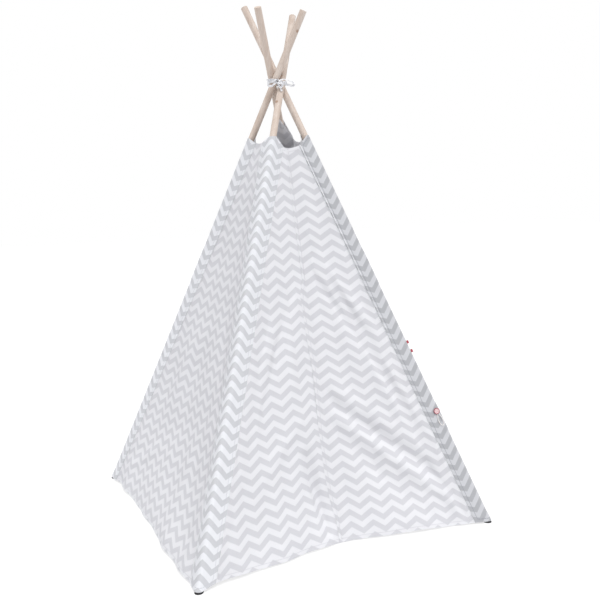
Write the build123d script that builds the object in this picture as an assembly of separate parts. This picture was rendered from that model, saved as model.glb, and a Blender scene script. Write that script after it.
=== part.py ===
from build123d import *

import math
import os

os.makedirs("parts", exist_ok=True)

# A four-pole play teepee, door side towards -Y, standing on Z = 0. Millimetres.

# Driving dimensions: the frame
BASE = 970.0  # between neighbouring pole feet
CROSSING_HEIGHT = 1410.0  # floor to the middle of the lashing
CROSSING_OFFSET = 17.2  # how far beside the tent's centre line each pole passes
POLE_DIAMETER = 22.0
SECTION_LENGTH = 900.0  # the lower section of every pole, from its axis on the floor
CORD_HOLE_DIAMETER = 6.0
CORD_HOLE_BELOW_CROSSING = 17.0
FERRULE_LENGTH = 100.0
FERRULE_WALL = 0.95
FERRULE_BEAD = 0.4
FOOT_CAP_OUTER_RADIUS = 12.3
FOOT_CAP_RIB = 0.3
FOOT_CAP_CUP = 9.0
FOOT_CAP_SOLE = 3.0

# The dowels are cut by hand, so their ends stand at slightly different heights.
POLE_LENGTH = {
    "front_left": 1810.0,
    "front_right": 1836.0,
    "back_right": 1805.0,
    "back_left": 1799.0,
}
CORNER_ANGLE = {"front_left": -135.0, "front_right": -45.0, "back_right": 45.0, "back_left": 135.0}

# Driving dimensions: the cover
SLEEVE_INNER_RADIUS = 12.9
SLEEVE_OUTER_RADIUS = 14.1
SLEEVE_START = 14.0  # along the pole, from the floor
SLEEVE_TOP_HEIGHT = {
    "front_left": 1232.0,
    "front_right": 1237.0,
    "back_right": 1296.0,
    "back_left": 1232.0,
}
CLOTH = 1.2
WALL_GAP = 0.7  # between a wall's side and the sleeve beside it
HEM_CORNER = 20.0  # height of the hem beside a pole, up the slope
HEM_ARCH = 28.0
FRONT_SAG_ANGLE = 11.3  # each front half hangs inwards by this about the pole beside it
TOP_EDGE_DROP = 8.0  # a wall's top corner lies this far below the sleeve's end
TOP_EDGE_DIP = {"front": 46.0, "right": 52.0, "back": 52.0, "left": 30.0}

# Driving dimensions: the door
SLIT_TOP = 1006.0  # up the slope, where the two door flaps part
FLAP_HEM_INSET = 60.0  # from the corner to the foot of the crease, along the hem
FLAP_TIP_CUT = 12.0
FLAP_GAP = 2.0  # each side of the crease
OVERLAP_OUTER = 26.0  # the right half laps over the left by this
OVERLAP_INNER = 20.0
LAP_STEP = 2.0  # the right half lies this far outside the left

# Driving dimensions: the tie at the crossing
TIE_WIDTH = 5.6
TIE_THICKNESS = 2.4
TIE_PITCH = 6.2
TIE_TURNS = 2
TIE_RISE = -5.0  # the tie's middle stands this far above the crossing
TIE_CLEARANCE = 1.9
TIE_STEP_WIDTH = 9.0
BOW_ANGLE = -114.0  # the side of the crossing where the bow is tied
BOW_RISE = -4.0
BOW_KNOT = (17.0, 11.0, 14.0)
BOW_LOOPS = {"left": (30.0, 13.0, -16.0), "right": (46.0, 16.0, -10.0)}  # length, width, tilt
BOW_TAILS = {"left": (30.0, 168.0), "right": (30.0, -68.0)}  # length, direction
BOW_TAPE = 3.0
BOW_TAPE_WIDTH = 8.0

# Driving dimensions: the door's tie-back and the sewn tabs, on the front right sleeve
BUTTON_HEIGHT = 352.0
BUTTON_DIRECTION = -100.0
BUTTON_RADIUS = 10.0
BUTTON_THICKNESS = 4.2
BUTTON_RIM = 1.4
BUTTON_HOLE = 1.1
BUTTON_HOLE_SPREAD = 2.6
BUTTON_SHANK = 1.0
LOOP_LENGTH = 40.0
LOOP_WIDTH = 13.0
LOOP_CORD = 2.6
TAB_HEIGHTS = (538.0, 566.0)
TAB_DIRECTION = -30.0
TAB_SIZE = (3.0, 6.0, 10.0)  # thickness, reach, length

# Worked out from the above
POLE_RADIUS = POLE_DIAMETER / 2
FOOT_RADIUS = BASE / math.sqrt(2)
TWIST = math.degrees(math.asin(CROSSING_OFFSET / FOOT_RADIUS))
LEAN_RUN = math.sqrt(FOOT_RADIUS**2 - CROSSING_OFFSET**2)
LEAN = math.atan2(LEAN_RUN, CROSSING_HEIGHT)
POLE_TO_CROSSING = CROSSING_HEIGHT / math.cos(LEAN)
POLE_START = (FOOT_CAP_SOLE + POLE_RADIUS * math.sin(LEAN)) / math.cos(LEAN)
WALL_TILT = math.atan2(BASE / 2, CROSSING_HEIGHT)
FRONT = Plane(
    origin=(0, -BASE / 2, 0),
    x_dir=(1, 0, 0),
    z_dir=(0, -math.cos(WALL_TILT), math.sin(WALL_TILT)),
)
HALF_SPACE = 4000.0


def flat_direction(degrees):
    """The level unit vector at an angle from +X."""
    return Vector(math.cos(math.radians(degrees)), math.sin(math.radians(degrees)), 0)


def pole_plane(corner):
    """The plane whose origin is a pole's axis on the floor and whose normal runs up the pole."""
    outward = flat_direction(CORNER_ANGLE[corner] - TWIST)
    sideways = flat_direction(CORNER_ANGLE[corner] - TWIST + 90)
    foot = outward * LEAN_RUN + sideways * CROSSING_OFFSET
    up = Vector(0, 0, math.cos(LEAN)) - outward * math.sin(LEAN)
    return Plane(origin=foot, x_dir=sideways, z_dir=up)


def rod(radius, start, end):
    """A cylinder along Z between two heights."""
    return Pos(0, 0, start) * Cylinder(radius, end - start, align=(Align.CENTER, Align.CENTER, Align.MIN))


def slab(low, high):
    """A box between two corners."""
    size = [b - a for a, b in zip(low, high)]
    return Pos(*low) * Box(*size, align=(Align.MIN, Align.MIN, Align.MIN))


def turned(points):
    """A solid of revolution about Z from (radius, height) points."""
    outline = Polyline([(radius, 0, height) for radius, height in points], close=True)
    return revolve(make_face(outline), axis=Axis.Z)


# Poles, in each pole's own plane


def lower_section():
    """The foot end of a pole: a dowel with eased ends."""
    dowel = rod(POLE_RADIUS, POLE_START, SECTION_LENGTH)
    return chamfer(dowel.edges().filter_by(GeomType.CIRCLE), 0.8)


def upper_section(corner):
    """The top end of a pole, with its drilled cord hole just below the crossing."""
    dowel = rod(POLE_RADIUS, SECTION_LENGTH, POLE_LENGTH[corner])
    dowel = chamfer(dowel.edges().filter_by(GeomType.CIRCLE), 0.8)
    drill = Rot(90, 0, 0) * Cylinder(CORD_HOLE_DIAMETER / 2, 2 * POLE_DIAMETER)
    return dowel - Pos(0, 0, POLE_TO_CROSSING - CORD_HOLE_BELOW_CROSSING) * drill


def ferrule():
    """The steel tube that joins the two sections, with a stop bead and belled mouths."""
    bore = POLE_RADIUS + 0.05
    wall = bore + FERRULE_WALL
    proud = wall + FERRULE_BEAD
    half = FERRULE_LENGTH / 2
    side = [(bore, -half), (proud, -half), (wall, 6 - half), (wall, -5), (proud, -2)]
    mirrored = [(radius, -height) for radius, height in reversed(side)]
    return Pos(0, 0, SECTION_LENGTH) * turned(side + mirrored)


def foot_cap():
    """A rubber cup on a pole's end, before its sole is cut level."""
    top = POLE_START + FOOT_CAP_CUP
    outer = FOOT_CAP_OUTER_RADIUS
    rib = outer + FOOT_CAP_RIB
    lip = [(outer, top - 3), (rib, top - 2), (rib, top - 1), (outer, top)]
    cup = turned([(0, -30), (outer, -30), *lip, (0, top)])
    return cup - rod(POLE_RADIUS, POLE_START, top + 1)


def sleeve(corner):
    """The cloth casing round a pole, open at both ends."""
    end = SLEEVE_TOP_HEIGHT[corner] / math.cos(LEAN)
    return rod(SLEEVE_OUTER_RADIUS, SLEEVE_START, end) - rod(SLEEVE_INNER_RADIUS, SLEEVE_START - 1, end + 1)


# Walls, in the front wall's plane: X along the hem, Y up the slope, Z outwards


def wall_side(which, height, gap=0.0):
    """How far across a point of a wall's side lies at a height up the slope; which is -1 or 1."""
    corner = {-1: "front_left", 1: "front_right"}[which]
    beside = flat_direction(CORNER_ANGLE[corner] - TWIST + 90) * CROSSING_OFFSET
    crossing = FRONT.to_local_coords(beside + Vector(0, 0, CROSSING_HEIGHT))
    slope = (crossing.X - which * BASE / 2) / crossing.Y
    return which * BASE / 2 + slope * height - which * gap * math.hypot(1, slope)


def wall_outline(left, right, dip):
    """A wall's face: an arched hem, two sides along the sleeves and a scooped top edge."""
    gap = SLEEVE_OUTER_RADIUS + WALL_GAP
    tops = [SLEEVE_TOP_HEIGHT[name] / math.cos(WALL_TILT) - TOP_EDGE_DROP for name in (left, right)]
    hem_left = (wall_side(-1, HEM_CORNER, gap), HEM_CORNER)
    hem_right = (wall_side(1, HEM_CORNER, gap), HEM_CORNER)
    top_left = (wall_side(-1, tops[0], gap), tops[0])
    top_right = (wall_side(1, tops[1], gap), tops[1])
    pull = ((top_left[0] + top_right[0]) / 2, sum(tops) / 2 - 2 * dip)
    hem = ThreePointArc(hem_left, (0, HEM_CORNER + HEM_ARCH), hem_right)
    scoop = Bezier(top_right, pull, top_left)
    return make_face(hem + Line(hem_right, top_right) + scoop + Line(top_left, hem_left))


def cloth(face, lift=0.0):
    """A face of the wall's plane made into cloth, lifted outwards."""
    return Pos(0, 0, lift) * extrude(face, CLOTH, dir=(0, 0, 1))


def plain_wall(left, right, dip, quarter_turns):
    """One of the three closed walls."""
    solid = FRONT * cloth(wall_outline(left, right, dip))
    return Rot(0, 0, 90 * quarter_turns) * solid


def crease_across(height):
    """How far from the middle the crease of a door flap lies, at a height up the slope."""
    foot = BASE / 2 - FLAP_HEM_INSET
    return foot * (SLIT_TOP - height) / (SLIT_TOP - HEM_CORNER)


def hung_half(which, corners):
    """The part of a front half inside a polygon of (across, height) points, hung inwards about
    the line from its corner to the crossing. which is -1 for the left half, 1 for the right."""
    outline = wall_outline("front_left", "front_right", TOP_EDGE_DIP["front"])
    sides = [(which * across, height) for across, height in corners]
    flat = cloth(outline & make_face(Polyline(sides, close=True)), LAP_STEP if which > 0 else 0.0)
    foot = Vector(which * BASE / 2, -BASE / 2, 0)
    crossing = Vector(0, 0, CROSSING_HEIGHT)
    return (FRONT * flat).rotate(Axis(foot, crossing - foot), -which * FRONT_SAG_ANGLE)


def across(solid, low, high):
    """The part of a solid between two planes across the tent."""
    return solid & slab((low, -HALF_SPACE, -HALF_SPACE), (high, HALF_SPACE, HALF_SPACE))


def yoke(which):
    """The front half above the slit, still running past the tent's middle."""
    return hung_half(which, [(900, SLIT_TOP), (-150, SLIT_TOP), (-150, 2000), (900, 2000)])


def strip(which):
    """The front half beside the pole, from the crease of the door flap outwards."""
    foot = (crease_across(-100) + FLAP_GAP, -100)
    return hung_half(which, [(900, -100), foot, (FLAP_GAP, SLIT_TOP), (900, SLIT_TOP)])


def flap(which):
    """A door flap below the slit's top, still running past the tent's middle."""
    tip = SLIT_TOP - FLAP_TIP_CUT
    corners = [
        (crease_across(-100) - FLAP_GAP, -100),
        (crease_across(tip) - FLAP_GAP, tip),
        (-150, tip),
        (-150, -100),
    ]
    return hung_half(which, corners)


def inner_half(piece):
    """A left-hand piece, whose edge runs on behind the right-hand one."""
    return across(piece, -HALF_SPACE, OVERLAP_INNER)


def outer_half(piece):
    """A right-hand piece, whose lapped edge turns at the middle to lie along the left-hand one."""
    lap = across(mirror(piece, about=Plane.YZ), -OVERLAP_OUTER, 0)
    return across(piece, 0, HALF_SPACE) + lap


def front_panel_left():
    """The yoke above the slit and the strip beside the front left pole."""
    return inner_half(yoke(-1)) + strip(-1)


def front_panel_right():
    """The yoke above the slit and the strip beside the front right pole."""
    return outer_half(yoke(1)) + strip(1)


# The tie at the crossing


def tie_turn(rise):
    """One turn of the tie: a band that follows the four poles' hull at its own height."""
    middles = []
    for angle in CORNER_ANGLE.values():
        outward = flat_direction(angle - TWIST)
        sideways = flat_direction(angle - TWIST + 90)
        centre = sideways * CROSSING_OFFSET - outward * (rise * math.tan(LEAN))
        middles.append((centre.X, centre.Y))
    square = make_face(Polyline(middles, close=True))
    inner = POLE_RADIUS / math.cos(LEAN) + TIE_CLEARANCE
    band = offset(square, inner + TIE_THICKNESS) - offset(square, inner)
    return Pos(0, 0, CROSSING_HEIGHT + rise - TIE_WIDTH / 2) * extrude(band, TIE_WIDTH, dir=(0, 0, 1))


def tie_wrap():
    """The turns round the crossing, with the stretch of tape that steps from one to the next."""
    rises = [TIE_RISE + TIE_PITCH * (turn - (TIE_TURNS - 1) / 2) for turn in range(TIE_TURNS)]
    turns = [tie_turn(rise) for rise in rises]
    reach = CROSSING_OFFSET + POLE_RADIUS / math.cos(LEAN) + TIE_CLEARANCE + TIE_THICKNESS
    height = TIE_PITCH * (TIE_TURNS - 1) + TIE_WIDTH
    step = Pos(reach - 1.5, 0, 0) * Box(TIE_THICKNESS + 1.0, TIE_STEP_WIDTH, height)
    step = Pos(0, 0, CROSSING_HEIGHT + TIE_RISE) * Rot(0, 0, CORNER_ANGLE["back_right"]) * step
    return Part() + [*turns, step]


def bow_loop(side, length, width, tilt):
    """One loop of the bow: a band bent to a long ring, standing on its edge."""
    ring = Ellipse(length / 2, width / 2) - Ellipse(length / 2 - BOW_TAPE, width / 2 - BOW_TAPE)
    band = extrude(ring, BOW_TAPE_WIDTH / 2, both=True)
    band = Pos(side * (length / 2 + BOW_KNOT[0] / 2 - 3), 0, 0) * band
    return Rot(0, 0, side * tilt) * band


def bow_tail(length, direction):
    """One loose end of the tie: a flat strip with an eased end."""
    strip = Box(length, BOW_TAPE, BOW_TAPE_WIDTH, align=(Align.MIN, Align.CENTER, Align.CENTER))
    strip = fillet(strip.faces().sort_by(Axis.X)[-1].edges().filter_by(Axis.Y), 2.0)
    return Rot(0, 0, direction) * strip


def tie_bow():
    """The bow on the crossing's front: a knot, two loops and two ends."""
    wide, thick, tall = BOW_KNOT
    knot = fillet(Box(wide, tall, thick).edges(), 4.0)
    loops = [
        bow_loop({"left": -1, "right": 1}[side], length, width, tilt)
        for side, (length, width, tilt) in BOW_LOOPS.items()
    ]
    tails = [bow_tail(length, direction) for length, direction in BOW_TAILS.values()]
    bow = Part() + [knot, *loops, *tails]
    out = flat_direction(BOW_ANGLE)
    reach = CROSSING_OFFSET + POLE_RADIUS / math.cos(LEAN) + TIE_CLEARANCE + TIE_THICKNESS
    seat = out * (reach + thick / 2 + 0.2) + Vector(0, 0, CROSSING_HEIGHT + BOW_RISE)
    return Plane(origin=seat, x_dir=flat_direction(BOW_ANGLE + 90), z_dir=out) * bow


# The tie-back and the tabs on the front right sleeve


def sleeve_seat(height, direction, stand_off):
    """A plane on a sleeve's surface at a height, facing out in a level direction."""
    plane = pole_plane("front_right")
    along = plane.z_dir * (height / math.cos(LEAN))
    level = flat_direction(direction)
    out = (level - plane.z_dir * level.dot(plane.z_dir)).normalized()
    place = plane.origin + along + out * (SLEEVE_OUTER_RADIUS + stand_off)
    return Plane(origin=place, x_dir=plane.z_dir, z_dir=out)


def tie_back_button():
    """A round sewn button with a raised rim, four thread holes and a short thread shank."""
    disc = turned(
        [
            (0, 0),
            (BUTTON_RADIUS - 1, 0),
            (BUTTON_RADIUS, 1),
            (BUTTON_RADIUS, BUTTON_THICKNESS - 0.6),
            (BUTTON_RADIUS - 0.6, BUTTON_THICKNESS),
            (BUTTON_RADIUS - 2.4, BUTTON_THICKNESS),
            (BUTTON_RADIUS - 3.2, BUTTON_THICKNESS - BUTTON_RIM),
            (0, BUTTON_THICKNESS - BUTTON_RIM),
        ]
    )
    for across_x in (-BUTTON_HOLE_SPREAD, BUTTON_HOLE_SPREAD):
        for across_y in (-BUTTON_HOLE_SPREAD, BUTTON_HOLE_SPREAD):
            disc -= Pos(across_x, across_y, 0) * Cylinder(BUTTON_HOLE, 4 * BUTTON_THICKNESS)
    shank = rod(1.4, -BUTTON_SHANK, 0)
    return sleeve_seat(BUTTON_HEIGHT, BUTTON_DIRECTION, BUTTON_SHANK + 0.1) * (disc + shank)


def tie_back_loop():
    """A closed loop of cord that hangs from under the button."""
    path = Ellipse(LOOP_LENGTH / 2, LOOP_WIDTH / 2).wire()
    start = path @ 0
    ring = sweep(Plane(origin=start, z_dir=path % 0) * Circle(LOOP_CORD / 2), path=path)
    drop = LOOP_LENGTH / 2 + BUTTON_RADIUS + LOOP_CORD / 2 + 0.4
    return sleeve_seat(BUTTON_HEIGHT, BUTTON_DIRECTION, LOOP_CORD / 2 + 0.3) * Pos(-drop, 0, 0) * ring


def sleeve_tabs():
    """Two small folded tabs sewn to the sleeve's outer side."""
    thick, reach, length = TAB_SIZE
    tab = fillet(Box(length, thick, reach).edges().filter_by(Axis.Y), 1.2)
    stand_off = reach / 2 + 0.15
    return [sleeve_seat(height, TAB_DIRECTION, stand_off) * tab for height in TAB_HEIGHTS]


def write(name, shape):
    """Writes one node and prints its volume."""
    solids = shape if isinstance(shape, list) else shape.solids()
    node = solids[0] if len(solids) == 1 else Compound(children=list(solids))
    export_step(node, f"parts/{name}.step")
    print(f"{name}: {len(solids)} solid(s), {sum(s.volume for s in solids) / 1000:.2f} cm3")


def main():
    above_floor = slab((-HALF_SPACE, -HALF_SPACE, 0), (HALF_SPACE, HALF_SPACE, HALF_SPACE))
    for corner in CORNER_ANGLE:
        place = pole_plane(corner)
        write(f"pole_lower_{corner}", place * lower_section())
        write(f"pole_upper_{corner}", place * upper_section(corner))
        write(f"ferrule_{corner}", place * ferrule())
        write(f"foot_cap_{corner}", (place * foot_cap()) & above_floor)
        write(f"sleeve_{corner}", place * sleeve(corner))
    write("wall_right", plain_wall("front_right", "back_right", TOP_EDGE_DIP["right"], 1))
    write("wall_back", plain_wall("back_right", "back_left", TOP_EDGE_DIP["back"], 2))
    write("wall_left", plain_wall("back_left", "front_left", TOP_EDGE_DIP["left"], 3))
    write("front_panel_left", front_panel_left())
    write("front_panel_right", front_panel_right())
    write("door_flap_left", inner_half(flap(-1)))
    write("door_flap_right", outer_half(flap(1)))
    write("tie_wrap", tie_wrap())
    write("tie_bow", tie_bow())
    write("tie_back_button", tie_back_button())
    write("tie_back_loop", tie_back_loop())
    write("sleeve_tabs", sleeve_tabs())


main()
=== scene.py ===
"""A child's play teepee: four dowel poles, a printed cotton cover with two doors, and its small fittings."""

import logging
import math
from collections.abc import Callable
from dataclasses import dataclass, field
from enum import Enum

import bpy
import numpy as np
from mathutils import Matrix, Vector


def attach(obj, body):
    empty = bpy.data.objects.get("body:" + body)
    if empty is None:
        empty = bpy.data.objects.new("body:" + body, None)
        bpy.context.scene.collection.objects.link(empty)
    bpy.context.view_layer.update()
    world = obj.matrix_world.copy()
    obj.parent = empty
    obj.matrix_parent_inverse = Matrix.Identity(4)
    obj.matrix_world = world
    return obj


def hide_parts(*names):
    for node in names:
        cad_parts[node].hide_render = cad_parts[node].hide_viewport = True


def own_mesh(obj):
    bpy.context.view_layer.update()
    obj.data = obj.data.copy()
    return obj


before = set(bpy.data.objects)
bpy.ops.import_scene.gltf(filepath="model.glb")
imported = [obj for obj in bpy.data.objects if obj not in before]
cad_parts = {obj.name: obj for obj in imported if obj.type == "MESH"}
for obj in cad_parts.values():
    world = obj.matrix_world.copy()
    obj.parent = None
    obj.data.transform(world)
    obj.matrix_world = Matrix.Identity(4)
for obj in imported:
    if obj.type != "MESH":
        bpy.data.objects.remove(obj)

log = logging.getLogger("teepee")

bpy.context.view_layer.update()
UP = np.array((0.0, 0.0, 1.0))
MM = 0.001

# Every cloth and tape has two UV maps in metres: its own flat measure, and its distance from the cut edge.
PRINT_MAP = "print"
SEAM_MAP = "seam"

# The cotton is drawn as thick as its solids are, so that its cut edges show.
CLOTH = 0.0012

# Where a stretch of cloth that isn't cut short starts and ends.
HEM = 0.0
TOP_EDGE = math.inf


class Corner(Enum):
    """The tent's corners, each with its direction from the middle in degrees."""

    FRONT_LEFT = -135.0
    FRONT_RIGHT = -45.0
    BACK_RIGHT = 45.0
    BACK_LEFT = 135.0

    @property
    def label(self) -> str:
        """The corner's name as the nodes and bodies have it."""
        return self.name.lower()


class Side(Enum):
    """The tent's walls, each with the direction that it faces in degrees."""

    FRONT = -90.0
    RIGHT = 0.0
    BACK = 90.0
    LEFT = 180.0

    @property
    def label(self) -> str:
        """The wall's name as the nodes and bodies have it."""
        return self.name.lower()

    @property
    def corners(self) -> tuple[Corner, Corner]:
        """The corners at the wall's left and right, seen from outside."""
        return {
            Side.FRONT: (Corner.FRONT_LEFT, Corner.FRONT_RIGHT),
            Side.RIGHT: (Corner.FRONT_RIGHT, Corner.BACK_RIGHT),
            Side.BACK: (Corner.BACK_RIGHT, Corner.BACK_LEFT),
            Side.LEFT: (Corner.BACK_LEFT, Corner.FRONT_LEFT),
        }[self]


class Half(Enum):
    """Which part of a wall a sheet belongs to, as a sign across it."""

    LEFT = -1
    WHOLE = 0
    RIGHT = 1


def level(degrees: float) -> np.ndarray:
    """Gives a level unit vector.

    Args:
        degrees: Its angle from +X.

    Returns:
        The vector.
    """
    return np.array((math.cos(math.radians(degrees)), math.sin(math.radians(degrees)), 0.0))


def unit(vector: np.ndarray) -> np.ndarray:
    """Scales a vector to length 1.

    Args:
        vector: Any vector that isn't zero.

    Returns:
        The unit vector.
    """
    return vector / np.linalg.norm(vector)


def ease(values: np.ndarray, low: float, high: float) -> np.ndarray:
    """Rises smoothly from 0 to 1 between two values.

    Args:
        values: The numbers to ease.
        low: Where the rise starts.
        high: Where it ends.

    Returns:
        Numbers from 0 to 1.
    """
    t = np.clip((values - low) / (high - low), 0.0, 1.0)
    return t * t * (3.0 - 2.0 * t)


# ---------------------------------------------------------------------------
# The tent's main lines
# ---------------------------------------------------------------------------


@dataclass(frozen=True)
class Layout:
    """The lines that the whole tent is set out from, in metres and degrees."""

    base: float = 0.97
    crossing_height: float = 1.41
    crossing_offset: float = 0.0172
    hang: float = 11.3
    slit_top: float = 1.006
    crease_foot: float = 0.425
    crease_foot_height: float = 0.02
    pole_radius: float = 0.011
    casing_radius: float = 0.0119
    casing_foot: float = 0.006
    seam: float = 0.042

    @property
    def twist(self) -> float:
        """How far each pole is turned from its corner's direction, in degrees."""
        return math.degrees(math.asin(self.crossing_offset * math.sqrt(2) / self.base))

    @property
    def tilt(self) -> float:
        """How far each wall's plane leans in, in radians."""
        return math.atan2(self.base / 2, self.crossing_height)

    def foot(self, corner: Corner) -> np.ndarray:
        """Gives where a pole's axis meets the floor."""
        return level(corner.value) * self.base / math.sqrt(2)

    def crossing(self, corner: Corner) -> np.ndarray:
        """Gives where a pole's axis passes the middle of the crossing."""
        beside = level(corner.value - self.twist + 90.0)
        return beside * self.crossing_offset + UP * self.crossing_height

    def axis(self, corner: Corner) -> np.ndarray:
        """Gives the unit vector up a pole."""
        return unit(self.crossing(corner) - self.foot(corner))

    def off_pole(self, corner: Corner, degrees: float) -> np.ndarray:
        """Gives the way straight off a pole that faces a level direction.

        Args:
            corner: Which pole.
            degrees: The level direction.

        Returns:
            A unit vector, square to the pole.
        """
        axis, facing = self.axis(corner), level(degrees)
        return unit(facing - axis * (facing @ axis))

    def wall(self, side: Side) -> tuple[np.ndarray, np.ndarray, np.ndarray, np.ndarray]:
        """Gives a wall's plane.

        Args:
            side: Which wall.

        Returns:
            Its origin at the middle of the hem, and the unit vectors across it, up it and out of it.
        """
        out = level(side.value)
        up_slope = UP * math.cos(self.tilt) - out * math.sin(self.tilt)
        normal = out * math.cos(self.tilt) + UP * math.sin(self.tilt)
        return out * self.base / 2, np.cross(UP, out), up_slope, normal

    def pole_slope(self, side: Side, which: int) -> float:
        """Gives how far a wall's pole line moves across for each metre up the slope.

        Args:
            side: Which wall.
            which: -1 for its left pole, 1 for its right one.

        Returns:
            The slope.
        """
        origin, across, up_slope, _ = self.wall(side)
        top = self.crossing(side.corners[(which + 1) // 2]) - origin
        return float((top @ across - which * self.base / 2) / (top @ up_slope))

    def pole_line(self, side: Side, which: int, v: np.ndarray) -> np.ndarray:
        """Gives how far across the wall its pole's axis lies, at heights up the slope.

        Args:
            side: Which wall.
            which: -1 for its left pole, 1 for its right one.
            v: The heights.

        Returns:
            The distances across.
        """
        return which * self.base / 2 + self.pole_slope(side, which) * v

    def seam_line(self, side: Side, which: int, v: np.ndarray, reach: float) -> np.ndarray:
        """Gives the line beside a pole where its casing is sewn down.

        Args:
            side: Which wall.
            which: -1 for its left pole, 1 for its right one.
            v: The heights up the slope.
            reach: The distance from the pole's axis.

        Returns:
            The distances across.
        """
        steep = math.hypot(1.0, self.pole_slope(side, which))
        return self.pole_line(side, which, v) - which * reach * steep

    def half_foot(self, half: Half) -> np.ndarray:
        """Gives the front corner that a front half starts from."""
        return np.array((half.value * self.base / 2, -self.base / 2, 0.0))

    def turn(self, half: Half) -> np.ndarray:
        """Gives the rotation that hangs a front half inwards about the line from its corner to the crossing.

        Args:
            half: The left or the right half.

        Returns:
            A 3 by 3 matrix.
        """
        line = Vector(UP * self.crossing_height - self.half_foot(half))
        return np.array(Matrix.Rotation(math.radians(-half.value * self.hang), 3, line))

    def place(self, side: Side, half: Half, u: np.ndarray, v: np.ndarray, lift: np.ndarray) -> np.ndarray:
        """Places points given on a wall.

        Args:
            side: Which wall.
            half: A front half, or the whole of a plain wall.
            u: Distances across from the middle.
            v: Distances up the slope.
            lift: Distances outwards.

        Returns:
            The points, one row each.
        """
        origin, across, up_slope, normal = self.wall(side)
        points = origin + np.outer(u, across) + np.outer(v, up_slope) + np.outer(lift, normal)
        if half is Half.WHOLE:
            return points
        foot = self.half_foot(half)
        return (points - foot) @ self.turn(half).T + foot

    def middle_line(self, half: Half, v: np.ndarray) -> np.ndarray:
        """Gives how far across its own plane a hung front half meets the tent's middle plane.

        Args:
            half: The left or the right half.
            v: The heights up the slope.

        Returns:
            The distances across.
        """
        origin_across_up = np.array(((0.0, 0.0), (1.0, 0.0), (0.0, 1.0)))
        x = self.place(Side.FRONT, half, *origin_across_up.T, np.zeros(3))[:, 0]
        return -(x[0] + v * (x[2] - x[0])) / (x[1] - x[0])

    def crease(self, v: np.ndarray) -> np.ndarray:
        """Gives how far from the middle a door flap's crease lies, at heights up the slope."""
        return self.crease_foot * (self.slit_top - v) / (self.slit_top - self.crease_foot_height)


LAYOUT = Layout()


# ---------------------------------------------------------------------------
# Finishes
# ---------------------------------------------------------------------------


def linear(colour: str) -> tuple[float, float, float, float]:
    """Turns an sRGB hex colour to linear light.

    Args:
        colour: Six hex digits, with or without a hash.

    Returns:
        Red, green, blue and an alpha of 1.
    """
    parts = [int(colour.lstrip("#")[i : i + 2], 16) / 255 for i in (0, 2, 4)]
    red, green, blue = (c / 12.92 if c <= 0.04045 else ((c + 0.055) / 1.055) ** 2.4 for c in parts)
    return red, green, blue, 1.0


# A colour mix's sockets by number, because its number, vector and colour sockets share their names.
MIX_FIRST, MIX_SECOND, MIXED = 6, 7, 2


def node(
    tree: bpy.types.NodeTree, kind: str, inputs: dict | None = None, **settings: object
) -> bpy.types.Node:
    """Adds a shader node with its settings and links.

    Args:
        tree: The material's node tree.
        kind: The shader node's type.
        inputs: Each socket's name or number, with a value or another node's output.
        **settings: The node's own properties.

    Returns:
        The node.
    """
    made = tree.nodes.new(f"ShaderNode{kind}")
    for name, value in settings.items():
        setattr(made, name, value)
    for name, value in (inputs or {}).items():
        if isinstance(value, bpy.types.NodeSocket):
            tree.links.new(value, made.inputs[name])
        else:
            made.inputs[name].default_value = value
    return made


@dataclass(frozen=True)
class Finish:
    """A real finish: its name, its base colours in sRGB hex and its roughness."""

    name: str = "plain"
    light: str = "FFFFFF"
    dark: str = "DDDDDD"
    roughness: float = 0.6

    def start(self) -> tuple[bpy.types.Material, bpy.types.NodeTree, bpy.types.Node]:
        """Makes an empty material with its shader.

        Returns:
            The material, its node tree and the Principled shader.
        """
        material = bpy.data.materials.new(self.name)
        material.use_nodes = True
        tree = material.node_tree
        tree.nodes.clear()
        shader = node(tree, "BsdfPrincipled", {"Roughness": self.roughness, "Specular IOR Level": 0.35})
        node(tree, "OutputMaterial", {"Surface": shader.outputs["BSDF"]})
        return material, tree, shader

    def build(self) -> bpy.types.Material:
        """Makes the material."""
        raise NotImplementedError


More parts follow.
